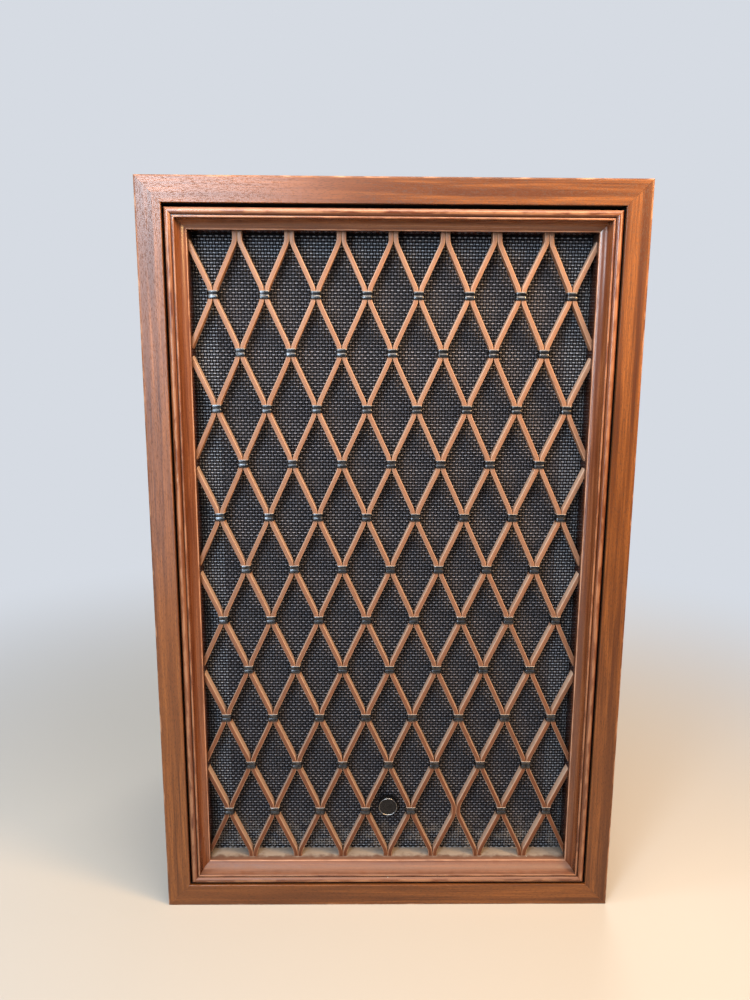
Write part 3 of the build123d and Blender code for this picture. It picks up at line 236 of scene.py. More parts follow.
def carried_section(name, rings, looped=False, marks=None, crease=35.0):
    """Mesh of a closed section carried along a path. rings[p, s, q] is point q of the section at station s of
    piece p. Neighbouring points and stations are joined by quads, each open end is closed by a flat face, and
    points that fall together, as at a pole, are merged. Edges of more than crease degrees stay sharp. Marks
    are values that the points carry, spread over pieces, stations and points."""
    pieces, stations, points = rings.shape[:3]
    index = np.arange(pieces * stations * points).reshape(pieces, stations, points)
    caps = []
    if looped:
        index = np.concatenate([index, index[:, :1]], axis=1)
    else:
        caps = index[:, 0, ::-1].tolist() + index[:, -1].tolist()
    ahead = np.roll(index, -1, axis=2)
    quads = np.stack([index[:, :-1], ahead[:, :-1], ahead[:, 1:], index[:, 1:]], axis=-1)
    mesh = bpy.data.meshes.new(name)
    mesh.from_pydata(rings.reshape(-1, 3).tolist(), [], quads.reshape(-1, 4).tolist() + caps)
    for label, values in (marks or {}).items():
        values = np.broadcast_to(values, rings.shape[:3] + values.shape[3:])
        kind, key = ("FLOAT_VECTOR", "vector") if values.ndim == 4 else ("FLOAT", "value")
        layer = mesh.attributes.new(label, kind, "POINT")
        layer.data.foreach_set(key, np.ascontiguousarray(values, dtype=np.float32).ravel())
    shell = bmesh.new()
    shell.from_mesh(mesh)
    bmesh.ops.remove_doubles(shell, verts=shell.verts[:], dist=merge_distance)
    bmesh.ops.recalc_face_normals(shell, faces=shell.faces[:])
    shell.to_mesh(mesh)
    shell.free()
    mesh.shade_smooth()
    mesh.set_sharp_from_angle(angle=math.radians(crease))
    return mesh


def arc(centre, radius, start, end, count):
    """Points of an arc: centre plus radius times cosine and sine, from start to end in degrees."""
    angle = np.radians(np.linspace(start, end, count))
    return np.stack([centre[0] + radius * np.cos(angle), centre[1] + radius * np.sin(angle)], axis=1)


# The grain is turned about its length by some 34 degrees, given here by cosine and sine, so that no face lies
# level with the figure. Each side of a frame starts a step further on, so that no two sides look alike.
grain_turn = (0.83, 0.56)
grain_step = 1.737


def mitred_length(side, section, left, right, bottom, top, stations=9):
    """A section of points (u in from the frame's edge, d back from the front) along one side of a frame.
    A point u in runs from u after one corner to u before the next, so both ends are cut at 45 degrees.
    Returns the rings, and the grain: distance along the side, then u and d turned by the grain's turn."""
    u = section[None, None, :, 0]
    d = section[None, None, :, 1]
    share = np.linspace(0.0, 1.0, stations)[None, :, None]
    inset = u + mitre_hairline
    if side in ("top", "bottom"):
        along = (left + inset) * (1 - share) + (right - inset) * share
        across = top - u if side == "top" else bottom + u
        x, z = along, np.broadcast_to(across, along.shape)
    else:
        along = (bottom + inset) * (1 - share) + (top - inset) * share
        across = left + u if side == "left" else right - u
        x, z = np.broadcast_to(across, along.shape), along
    y = np.broadcast_to(front_y + d, along.shape)
    offset = grain_step * side_names.index(side)
    cosine, sine = grain_turn
    slant = np.broadcast_to(cosine * u + sine * d + offset, along.shape)
    counter = np.broadcast_to(cosine * d - sine * u, along.shape)
    grain = np.stack([along + offset, slant, counter], axis=-1)
    return np.stack([x, y, z], axis=-1), grain


arris = 0.8 * MM
arris_points = 5
face_start = 2 * MM
face_end = wall - 1.2 * MM
inner_edge = 0.3 * MM
dark_line = 2.5 * MM
board_section = np.concatenate(
    [
        arc((arris, arris), arris, 180, 270, arris_points),
        [[face_start, 0], [face_end, 0], [wall - inner_edge, 0], [wall, inner_edge]],
        [[wall, dark_line], [wall, dark_line + inner_edge], [wall, cabinet_depth]],
        [[wall - inner_edge, cabinet_depth], [face_start, cabinet_depth]],
        arc((arris, cabinet_depth - arris), arris, 90, 180, arris_points),
        [[0, cabinet_depth - face_start], [0, face_start]],
    ]
)
# Marks on the section's points: the two rounded outer edges, and the inside faces, near-black behind the dark
# line.
outer_points = 2
between = len(board_section) - 2 * arris_points - outer_points
board_edge = np.repeat([1.0, 0.0, 1.0, 0.0], [arris_points, between, arris_points, outer_points])
board_inside = np.where((board_section[:, 0] == wall) & (board_section[:, 1] > dark_line), 1.0, 0.0)


def new_group(name, inputs, outputs):
    """Empty shader node group with named sockets; returns it with its inner input and output nodes."""
    group = bpy.data.node_groups.new(name, "ShaderNodeTree")
    for label, kind in inputs.items():
        group.interface.new_socket(label, in_out="INPUT", socket_type="NodeSocket" + kind)
    for label, kind in outputs.items():
        group.interface.new_socket(label, in_out="OUTPUT", socket_type="NodeSocket" + kind)
    return group, add_node(group, "NodeGroupInput"), add_node(group, "NodeGroupOutput")


def blend(share, first, second):
    """Colour between two colours."""
    inputs = {0: share, 6: first, 7: second}
    return add_node(share.id_data, "ShaderNodeMix", inputs, data_type="RGBA").outputs[2]


def noise(vector, scale, detail=2.0, distortion=0.0):
    """Value of a noise, scale counted in lumps per metre."""
    inputs = {"Vector": vector, "Scale": scale, "Detail": detail, "Distortion": distortion}
    return add_node(vector.id_data, "ShaderNodeTexNoise", inputs).outputs[0]


def stretched(vector, along):
    """The grain's coordinates with the distance along it shortened, so that what is drawn on it is long."""
    return vector_math("MULTIPLY", vector, (along, 1.0, 1.0))


def attribute(tree, label, output="Fac"):
    """A mark that the mesh carries on its points."""
    return add_node(tree, "ShaderNodeAttribute", attribute_name=label).outputs[output]


def scaled(value, gain, base):
    """A value times a gain, plus a base."""
    inputs = {0: value, 1: gain, 2: base}
    return add_node(value.id_data, "ShaderNodeMath", inputs, operation="MULTIPLY_ADD").outputs[0]


def tint(colour, mask, share, toward):
    """A colour moved toward a screen colour by a share of a mask."""
    return blend(times(mask, share), colour, paint(*toward))


def coat(shader, colour, gloss):
    """Gives a shader its colour and its roughness."""
    feed(shader.inputs["Base Color"], colour)
    feed(shader.inputs["Roughness"], gloss)


def bump(shader, height, strength, depth, sunk=False):
    """Relief that rises with a height, by depth in metres, or goes down with it where it is sunk."""
    inputs = {"Strength": strength, "Distance": depth, "Height": height}
    relief = add_node(shader.id_data, "ShaderNodeBump", inputs, invert=sunk)
    feed(shader.inputs["Normal"], relief.outputs[0])


wood_figure, wood_in, wood_out = new_group(
    "wood_figure",
    {"Grain": "Vector", "Band Count": "Float", "Pore Count": "Float"},
    {"Bands": "Float", "Streaks": "Float", "Pores": "Float", "Clouds": "Float"},
)
# Each part of the figure: how far the grain is shortened for it, its lumps to the metre, detail and
# distortion, and the two values of the noise between which it comes in.
wood_parts = {
    "Bands": (0.03, wood_in.outputs["Band Count"], 3.0, 0.5, 0.32, 0.68),
    "Streaks": (0.02, 1400.0, 3.0, 0.0, 0.35, 0.65),
    "Pores": (0.18, wood_in.outputs["Pore Count"], 1.0, 0.0, 0.53, 0.66),
    "Clouds": (0.25, 26.0, 2.0, 0.0, 0.35, 0.65),
}
for label, (along, lumps, detail, distortion, low, high) in wood_parts.items():
    drawn_out = stretched(wood_in.outputs["Grain"], along)
    pattern = noise(drawn_out, lumps, detail, distortion)
    feed(wood_out.inputs[label], fade(pattern, low, high))

rubbed_edge, rub_in, rub_out = new_group(
    "rubbed_edge", {"Grain": "Vector", "Edge": "Float", "Amount": "Float"}, {"Rub": "Float"}
)
rub_patches = noise(stretched(rub_in.outputs["Grain"], 0.25), 240.0, 4.0)
rub_edge = fade(rub_in.outputs["Edge"], 0.35, 0.9)
rub_level = scaled(rub_edge, rub_in.outputs["Amount"], rub_patches)
feed(rub_out.inputs["Rub"], fade(rub_level, 0.98, 1.20))


def put_group(tree, group, inputs):
    """Places a node group in a material with its own values; returns its outputs."""
    return add_node(tree, "ShaderNodeGroup", inputs, node_tree=group).outputs


def wood(name, inputs, bands, pores, edge_mark, rub_amount):
    """New wood, with so many bands and pores to the metre, and a mask of where its marked edges are rubbed.
    Returns the material, its node tree, the shader, the figure and the mask."""
    material, tree, shader = finish(name, inputs)
    grain = attribute(tree, "grain", "Vector")
    figure = put_group(tree, wood_figure, {"Grain": grain, "Band Count": bands, "Pore Count": pores})
    edge = attribute(tree, edge_mark)
    rub = put_group(tree, rubbed_edge, {"Grain": grain, "Edge": edge, "Amount": rub_amount})["Rub"]
    return material, tree, shader, figure, rub


walnut, tree, shader, figure, rub = wood(
    "walnut_veneer",
    {"IOR": 1.5, "Specular IOR Level": 0.42},
    bands=210.0,
    pores=2000.0,
    edge_mark="edge",
    rub_amount=0.52,
)
colour = blend(figure["Bands"], paint(80, 41, 16), paint(138, 82, 38))
colour = tint(colour, figure["Streaks"], 0.6, (72, 36, 15))
colour = tint(colour, figure["Clouds"], 0.35, (134, 79, 37))
colour = tint(colour, figure["Pores"], 0.4, (48, 24, 12))
colour = tint(colour, rub, 0.6, (196, 150, 118))
# The inside faces turn near-black behind the dark line, 2.5 mm back from the front.
inside = attribute(tree, "inside")
gloss = scaled(figure["Pores"], 0.22, 0.28)
coat(shader, blend(inside, colour, paint(16, 14, 13)), scaled(inside, 0.3, gloss))
bump(shader, figure["Pores"], 0.15, 0.06 * MM, sunk=True)

cabinet_side = cabinet_width / 2
for side in side_names:
    rings, grain_of = mitred_length(side, board_section, -cabinet_side, cabinet_side, 0, cabinet_height)
    marks = {"grain": grain_of, "edge": board_edge, "inside": board_inside}
    board = place(carried_section(f"{side}_board", rings, marks=marks), walnut)
    node = f"cabinet_{side}" if side in ("top", "bottom") else f"cabinet_{side}_side"
    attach(board, "cabinet")
    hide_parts(node)

# Baffle: a particle-board panel sprayed flat black, screwed from inside to pine cleats glued in the cabinet.
# Nylon sockets for the grille's pegs are pressed into it; the screws are blackened steel.


def dress(material, *nodes):
    """Gives a finish to solids that keep their shape."""
    for node in nodes:
        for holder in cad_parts[node].material_slots:
            holder.material = material


def grained(name, dark, light, lumps, roughness, depth, inputs=None):
    """Even finish with a fine grain, in lumps to the metre and mm of depth: a noise between two colours,
    which also changes the gloss and the relief."""
    material, tree, shader = finish(name, inputs)
    spot = object_spot(tree)
    grain = noise(spot, lumps, 4.0)
    patches = noise(spot, lumps / 25, 3.0)
    shade = scaled(grain, 0.6, times(patches, 0.4))
    colour = blend(fade(shade, 0.35, 0.65), paint(*dark), paint(*light))
    coat(shader, colour, scaled(shade, 0.3, roughness - 0.15))
    bump(shader, grain, 0.5, depth * MM)
    return material


dress(grained("baffle_black", (20, 20, 20), (34, 33, 32), 700.0, 0.8, 0.2), "front_baffle")
dress(grained("pine", (182, 142, 98), (208, 174, 130), 260.0, 0.7, 0.1), "cleats")
dress(grained("socket_nylon", (24, 24, 25), (36, 36, 37), 900.0, 0.45, 0.05), "peg_sockets")
dress(
    grained("black_steel", (32, 31, 31), (60, 58, 56), 1500.0, 0.42, 0.03, {"Metallic": 0.85}),
    "panel_screws",
    "driver_screws",
)

# Drivers: pressed steel baskets with ferrite magnets between zinc-plated steel plates, screwed to the baffle.
# Each paper cone, with its coil, hangs between a doped cloth edge and, in the two larger, a corrugated disc.
baffle_y = front_y + 52 * MM
# Where each driver's axis goes through the baffle, across and up.
axes = {"woofer": (0.0, 190 * MM), "midrange": (-62 * MM, 440 * MM), "tweeter": (88 * MM, 455 * MM)}
dress(
    grained("basket_steel", (118, 119, 120), (152, 152, 150), 500.0, 0.42, 0.04, {"Metallic": 0.9}),
    *[f"{driver}_frame" for driver in axes],
)
dress(
    grained("zinc_plate", (158, 150, 122), (186, 180, 160), 800.0, 0.36, 0.02, {"Metallic": 0.95}),
    *[f"{driver}_{plate}" for driver in axes for plate in ("top_plate", "yoke")],
)
dress(
    grained("ferrite", (40, 39, 40), (64, 62, 62), 1100.0, 0.6, 0.08),
    *[f"{driver}_magnet" for driver in axes],
)
dress(grained("gasket_fibre", (40, 33, 28), (64, 53, 45), 1300.0, 0.85, 0.15), "woofer_gasket")
dress(
    grained("coil_copper", (150, 78, 42), (192, 116, 68), 1800.0, 0.4, 0.05, {"Metallic": 0.7}),
    *[f"{driver}_voice_coil" for driver in axes],
)


def cone_paper(driver, ribs):
    """Felted paper: fine fibres, and ribs to the metre as shallow waves of the distance from the axis."""
    material, tree, shader = finish(f"{driver}_paper", {"Sheen Weight": 0.15})
    spot = object_spot(tree)
    axis = axes[driver]
    centred = vector_math("ADD", spot, (-axis[0], 0.0, -axis[1]))
    reach = vector_math("LENGTH", vector_math("MULTIPLY", centred, (1.0, 0.0, 1.0)))
    wave = math_of("SINE", times(reach, ribs * 2 * math.pi))
    fibre = noise(spot, 900.0, 5.0, 0.8)
    colour = blend(fade(fibre, 0.3, 0.75), paint(30, 29, 29), paint(58, 56, 54))
    coat(shader, colour, scaled(fibre, 0.2, 0.72))
    bump(shader, scaled(wave, 0.5, fibre), 0.5, 0.3 * MM)
    return material


dress(cone_paper("woofer", 120.0), "woofer_cone", "woofer_dust_cap")
dress(cone_paper("midrange", 250.0), "midrange_cone")
dress(cone_paper("tweeter", 500.0), "tweeter_cone")


def soft_ring(driver, kind, radius, depth, fixed_radius, moving_radius, material):
    """Flexible ring round a driver's axis, given in mm by its front line: radius, and depth behind the face
    of the baffle. It is turned in eighths, each of them a piece of its own."""
    node = f"{driver}_{kind}"
    axis = axes[driver]
    thickness = 0.8
    stations = 7
    line_radius = np.concatenate([radius, radius[::-1]]) * MM
    line_depth = np.concatenate([depth, depth[::-1] + thickness]) * MM
    eighth = math.pi / 4
    for part in range(8):
        angle = np.linspace(part * eighth, (part + 1) * eighth, stations)[:, None]
        x = axis[0] + np.cos(angle) * line_radius
        z = axis[1] + np.sin(angle) * line_radius
        y = np.broadcast_to(baffle_y + line_depth, x.shape)
        rings = np.stack([x, y, z], axis=-1)[None]
        sector = place(carried_section(f"{node}_{part + 1}", rings), material)
        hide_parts(node)
        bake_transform(sector)


def rolls(rim, roll_start, roll_width, count, height, lip, rest):
    """Front line of an edge: a flat rim, half-round rolls, forward by the sine of the way across, and a lip.
    Returns its radii and depths, and the radii where the frame and the cone hold it."""
    way = np.linspace(0, count, 10 * count + 1)
    radius = np.concatenate([[rim], roll_start - way * roll_width, [lip]])
    depth = rest - height * np.abs(np.sin(math.pi * way))
    return radius, np.concatenate([[rest], depth, [rest]]), roll_start, lip


def waves(rim, flat_end, inner, count, height, rest):
    """Front line of a corrugated disc: a flat rim, then a sine of count half waves in to the coil.
    Returns its radii and depths, and the radii where the frame and the coil hold it."""
    way = np.linspace(0, 1, 8 * count + 1)
    radius = np.concatenate([[rim], flat_end + (inner - flat_end) * way])
    depth = rest + height * np.sin(math.pi * count * way)
    return radius, np.concatenate([[rest], depth]), flat_end, inner


edge_cloth = grained("doped_cloth", (26, 25, 25), (46, 44, 43), 1600.0, 0.5, 0.1)
disc_cloth = grained("disc_cloth", (150, 112, 58), (178, 140, 84), 1600.0, 0.7, 0.1)
woofer_edge = rolls(rim=137, roll_start=128, roll_width=12, count=2, height=5, lip=98.1, rest=-2.8)
woofer_disc = waves(rim=66, flat_end=56.5, inner=19.7, count=4, height=1.6, rest=59.2)
midrange_edge = rolls(rim=55, roll_start=50, roll_width=8, count=1, height=3, lip=39.6, rest=-2)
midrange_disc = waves(rim=25.8, flat_end=20.5, inner=10.1, count=4, height=0.6, rest=25.2)
tweeter_edge = rolls(rim=38, roll_start=33, roll_width=6, count=1, height=1.6, lip=24.6, rest=-2)
soft_ring("woofer", "surround", *woofer_edge, edge_cloth)
soft_ring("woofer", "spider", *woofer_disc, disc_cloth)
soft_ring("midrange", "surround", *midrange_edge, edge_cloth)
soft_ring("midrange", "spider", *midrange_disc, disc_cloth)
soft_ring("tweeter", "surround", *tweeter_edge, edge_cloth)

# Wadding: three soft pads of carded fibre, glued inside the two sides and the back.
# Each is flat where it is glued, and swells towards the middle of the box.
pad_thickness = 17.8 * MM


def wadding_pad(name, centre, half_wide, half_high, outward, across):
    """Pad on a board: the glued face is flat, the free one stands off by the thickness times the sixth-power
    roundings of both ways across, with a slow ripple. Its section is carried up the pad's height."""
    free = np.sin(np.linspace(-1, 1, 21) * math.pi / 2)
    glued = free[-2:0:-1]
    way = np.concatenate([free, glued])
    swell = np.concatenate([np.sqrt(1 - np.abs(free) ** 6), np.zeros(len(glued))])
    climb = np.sin(np.linspace(-0.98, 0.98, 33) * math.pi / 2)[:, None]
    ripple = 0.9 + 0.1 * np.sin(9 * climb + 4 * way) * np.cos(5 * climb - 7 * way)
    stand = pad_thickness * swell * np.sqrt(1 - np.abs(climb) ** 6) * ripple
    points = np.asarray(centre) + (way * half_wide)[None, :, None] * np.asarray(across)
    points = points + stand[:, :, None] * np.asarray(outward)
    points = points + (climb * half_high)[:, :, None] * np.array([0.0, 0.0, 1.0])
    return carried_section(name, points[None], crease=70)


wool = grained(
    "carded_wool", (150, 146, 138), (206, 202, 194), 420.0, 0.95, 0.9, {"Sheen Weight": 0.4}
)
side_pad = (67.5 * MM, 234.5 * MM)
back_pad = (111 * MM, 140 * MM)
to_left, to_right = (-1.0, 0.0, 0.0), (1.0, 0.0, 0.0)
to_front, to_back = (0.0, -1.0, 0.0), (0.0, 1.0, 0.0)
pads = {
    "left_wadding": ((-170.9 * MM, 30.5 * MM, 298.5 * MM), *side_pad, to_right, to_back),
    "right_wadding": ((170.9 * MM, 30.5 * MM, 298.5 * MM), *side_pad, to_left, to_back),
    "back_wadding": ((0.0, 112.9 * MM, 393 * MM), *back_pad, to_front, to_right),
}
for name, shape in pads.items():
    pad = place(wadding_pad(name, *shape), wool)
    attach(pad, "cabinet")
    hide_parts("damping_pads")

# Dividing network: wound copper coils and waxed capacitors on a hardboard panel, joined by stranded leads.
# The panel is screwed inside the back, and its leads are soldered to the drivers and the terminals.
dress(grained("hardboard", (86, 58, 38), (112, 78, 52), 600.0, 0.7, 0.1), "crossover_board")
dress(
    grained("enamelled_wire", (134, 64, 34), (186, 104, 58), 1400.0, 0.36, 0.1, {"Metallic": 0.6}),
    "crossover_coils",
)
waxed_card = grained("waxed_card", (172, 136, 74), (196, 164, 104), 500.0, 0.45, 0.05)
dress(waxed_card, "crossover_capacitors")
dress(grained("lead_rubber", (46, 44, 44), (72, 69, 68), 1200.0, 0.6, 0.04), "wiring_leads")

# Back: a stained particle-board panel, screwed to its cleats, with a moulded terminal plate fixed on it.
# Plated posts carry hand nuts over washers, and two wire-wound controls carry moulded knobs.


def cells(vector, count):
    """Random cells, count to the metre: each cell's own random value, and the distance from its middle."""
    node = add_node(vector.id_data, "ShaderNodeTexVoronoi", {"Vector": vector, "Scale": count})
    value = add_node(vector.id_data, "ShaderNodeSeparateColor", {0: node.outputs["Color"]}).outputs[0]
    return value, node.outputs["Distance"]


back_board, tree, shader = finish("particle_board", {"Roughness": 0.7})
spot = object_spot(tree)
chip_shape = (1.0, 0.2, 0.55)
chip = cells(vector_math("MULTIPLY", spot, chip_shape), 420.0)[0]
colour = blend(chip, paint(64, 45, 32), paint(112, 82, 58))
colour = tint(colour, noise(spot, 18.0, 4.0), 0.4, (62, 44, 32))
feed(shader.inputs["Base Color"], colour)
bump(shader, scaled(noise(spot, 900.0, 3.0), 0.6, chip), 0.35, 0.2 * MM)
dress(back_board, "back_panel")
dress(grained("moulded_black", (22, 22, 23), (34, 33, 34), 900.0, 0.4, 0.03), "terminal_plate")
dress(
    grained("nickel", (176, 170, 156), (204, 199, 188), 900.0, 0.3, 0.02, {"Metallic": 1.0}),
    "terminal_posts",
    "terminal_washer_left",
    "terminal_washer_right",
    "terminal_nut_left",
    "terminal_nut_right",
)
dress(
    grained("control_zinc", (140, 138, 130), (172, 170, 164), 900.0, 0.4, 0.03, {"Metallic": 0.9}),
    "level_controls",
)
dress(
    grained("knob_black", (18, 18, 19), (32, 31, 32), 700.0, 0.32, 0.03),
    "midrange_level_knob",
    "tweeter_level_knob",
)

# Grille frame: four lengths of solid moulding, stained red-brown and varnished, mitred and glued.
# Outside in: a bead, a sunk quirk, a thin fillet, a cove down to a rounded lip, and a flat inner face.
# The outer side, which the cabinet hides, is left unvarnished.
grille_left = -169.5 * MM
grille_right = 169.5 * MM
grille_bottom = 20.2 * MM
grille_top = 575.2 * MM


def arc_through(first, middle, last, count):
    """Points of the circle through three points, from the first to the last past the middle one."""
    (ax, ay), (bx, by), (cx, cy) = first, middle, last
    spread = 2 * (ax * (by - cy) + bx * (cy - ay) + cx * (ay - by))
    squares = np.array([ax * ax + ay * ay, bx * bx + by * by, cx * cx + cy * cy])
    centre_x = squares @ np.array([by - cy, cy - ay, ay - by]) / spread
    centre_y = squares @ np.array([cx - bx, ax - cx, bx - ax]) / spread
    up = [ay - centre_y, by - centre_y, cy - centre_y]
    over = [ax - centre_x, bx - centre_x, cx - centre_x]
    angles = np.degrees(np.unwrap(np.arctan2(up, over)))
    return arc((centre_x, centre_y), math.hypot(ax - centre_x, ay - centre_y), angles[0], angles[2], count)


bead_points = 13
cove_points = 13
bead = arc_through((0, 3.1), (2.6, 0.5), (5.2, 3.1), bead_points)
fillet_front = np.array([[5.75, 3.15], [5.8, 2.1], [6.05, 1.82], [6.9, 1.82], [7.2, 2.05]])
cove = arc_through((7.35, 2.4), (8.65, 7.81), (13.2, 12.0), cove_points)
nose = arc((13.2, 12.8), 0.8, -60, 0, 4)
inner_face = np.array([[14.0, 14.6], [14.0, 20.0], [14.0, 25.0], [14.0, 30.0], [0.0, 30.0], [0.0, 3.6]])
moulding_section = np.concatenate([bead, fillet_front, cove, nose, inner_face]) * MM
# Marks on the section's points, in the same order: how far the varnish is rubbed pale, which on the bead and
# the fillet is also a painted highlight, and above 1 a painted highlight along the lip; how much painted
# shade falls there, in the quirk, at the top of the cove and on the inner face; how much dust would settle if
# it were a floor; and where the wood is unvarnished.
# Wear, and painted highlight: on the bead and the fillet, rubbed pale and partly a painted highlight; above
# 1, a painted highlight along the lip.
moulding_wear_and_highlight = np.concatenate(
    [
        np.sin(np.linspace(0, math.pi, bead_points)) ** 2,
        [0, 0.5, 1, 1, 0.9],
        np.zeros(cove_points - 1),
        [0.7, 1.6, 1.9, 1.9, 1.6],
        np.zeros(len(inner_face)),
    ]
)
# Painted shade: in the quirk beside the bead, at the top of the cove, and deepest on the inner face.
moulding_painted_shade = np.concatenate(
    [
        np.zeros(bead_points - 2),
        [0.2, 0.6, 0.8, 0.4, 0, 0, 0.1],
        np.linspace(0.3, 0.0, cove_points),
        np.zeros(len(nose)),
        [1.0, 1.5, 1.8, 1.9, 1.9, 1.0],
    ]
)
before_inner_face = len(moulding_section) - len(inner_face)
moulding_floor = np.concatenate([np.zeros(before_inner_face), [0.15, 0.85, 1.1, 1.2, 1.2, 0.0]])
moulding_raw = np.repeat([0.0, 1.0], [len(moulding_section) - 2, 2])


def parts(vector):
    """The x, y and z of a vector."""
    return add_node(vector.id_data, "ShaderNodeSeparateXYZ", {0: vector}).outputs


def facing_up(tree):
    """How far the surface faces up: the z of its normal."""
    return parts(add_node(tree, "ShaderNodeNewGeometry").outputs["Normal"])[2]


mahogany, tree, shader, figure, rub = wood(
    "moulding_varnish",
    {"IOR": 1.5, "Specular IOR Level": 0.6},
    bands=330.0,
    pores=2600.0,
    edge_mark="wear_and_highlight",
    rub_amount=0.60,
)
spot = object_spot(tree)
height = parts(spot)[2]
painted_shade = attribute(tree, "painted_shade")
colour = blend(figure["Bands"], paint(92, 48, 25), paint(130, 77, 44))
colour = tint(colour, figure["Streaks"], 0.4, (92, 44, 24))
colour = tint(colour, figure["Pores"], 0.35, (60, 30, 21))
# Painted shade from the mark: darker in the quirk and at the top of the cove, near-black on the inner face.
colour = tint(colour, painted_shade, 0.5, (52, 27, 20))
colour = tint(colour, fade(painted_shade, 0.9, 1.5), 0.7, (26, 15, 12))
# Rubbed pale on the bead and the fillet: wear, and in part a painted highlight.
colour = tint(colour, rub, 0.36, (196, 142, 104))
# Painted highlight: a pale line along the rounded lip, in patches.
lip_patches = fade(noise(spot, 60.0, 4.0), 0.2, 0.6)
lip = times(fade(attribute(tree, "wear_and_highlight"), 1.1, 1.8), lip_patches)
colour = tint(colour, lip, 0.6, (206, 160, 134))
drift = scaled(attribute(tree, "floor"), 0.75, noise(spot, 170.0, 5.0))
film = times(fade(facing_up(tree), 0.1, 0.7), fade(drift, -0.2, 0.7))
colour = tint(colour, film, 0.3, (152, 118, 100))
dust = times(fade(height, 0.040, 0.030), fade(drift, 0.75, 1.25))
speck_value, speck_away = cells(spot, 130.0)
speck = times(fade(speck_away, 0.11, 0.08), fade(speck_value, 0.93, 0.94))
speck = times(speck, fade(height, 0.050, 0.036))
dust = math_of("MAXIMUM", dust, speck)
gloss = scaled(figure["Bands"], 0.1, 0.18)
gloss = scaled(film, 0.4, gloss)
gloss = scaled(attribute(tree, "raw"), 0.5, gloss)
coat(shader, blend(dust, colour, paint(168, 158, 146)), scaled(dust, 0.5, gloss))
bump(shader, figure["Pores"], 0.1, 0.1 * MM, sunk=True)

grille_edges = (grille_left, grille_right, grille_bottom, grille_top)
for side in side_names:
    rings, grain_of = mitred_length(side, moulding_section, *grille_edges, stations=25)
    marks = {"grain": grain_of, "wear_and_highlight": moulding_wear_and_highlight, "painted_shade": moulding_painted_shade}
    marks.update({"floor": moulding_floor, "raw": moulding_raw})
    rail = place(carried_section(f"{side}_moulding", rings, marks=marks, crease=50), mahogany)
    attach(rail, "grille")
    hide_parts(f"grille_rail_{side}")

# Battens and pegs: a frame of hardboard strips glued behind the moulding, which the cloth is stapled to.
# Four nylon pegs stand on its corners and push into the baffle's sockets.
dress(grained("batten_board", (58, 44, 34), (82, 64, 50), 500.0, 0.75, 0.15), "grille_battens")
dress(grained("peg_nylon", (26, 26, 27), (40, 39, 40), 900.0, 0.45, 0.05), "grille_pegs")

# Cloth: a coarse plain weave of thick dark threads, stretched behind the moulding on its battens.
# The level threads are a greyer, glossier yarn than the upright ones. Close behind them lies a thin
# near-black
# sheet: painted shade, which stands in for the shade and the black baffle seen through the weave.
cloth_front = 30 * MM
cloth_left, cloth_right = -155.3 * MM, 155.3 * MM
cloth_bottom, cloth_top = 34.4 * MM, 561.0 * MM
thread_swing = 0.28 * MM
upright_pitch = 2.35 * MM
level_pitch = 2.5 * MM
thread_mid = cloth_front + 0.35 * MM


def woven(name, level, width, crown):
    """Threads of one direction. Each is a three-cornered section carried along a straight line, which steps
    forward and back by the swing at alternate crossings; neighbours step the opposite way."""
    upright_x = np.arange(cloth_left, cloth_right, upright_pitch)
    level_z = np.arange(cloth_bottom, cloth_top, level_pitch)
    lines, stations = (level_z, upright_x) if level else (upright_x, level_z)
    parity = (np.arange(len(lines))[:, None] + np.arange(len(stations))[None, :]) % 2
    over = np.where(parity == (0 if level else 1), 1.0, -1.0)
    side = np.array([-0.5, 0.0, 0.5]) * width
    depth = np.array([crown, 0.0, crown])
    y = front_y + thread_mid - thread_swing * over[:, :, None] + depth[None, None]
    run = np.broadcast_to(stations[None, :, None], y.shape)
    off = np.broadcast_to(lines[:, None, None] + side[None, None], y.shape)
    rings = np.stack([run, y, off] if level else [off, y, run], axis=-1)
    yarn = np.random.default_rng(5 if level else 9).random(len(lines))
    marks = {"yarn": yarn[:, None, None], "over": over[:, :, None], "crest": np.array([0.0, 1.0, 0.0])}
    return carried_section(name, rings, marks=marks, crease=180)


batten_inside = (137.5 * MM, 245.5 * MM)
cloth_middle = (grille_bottom + grille_top) / 2


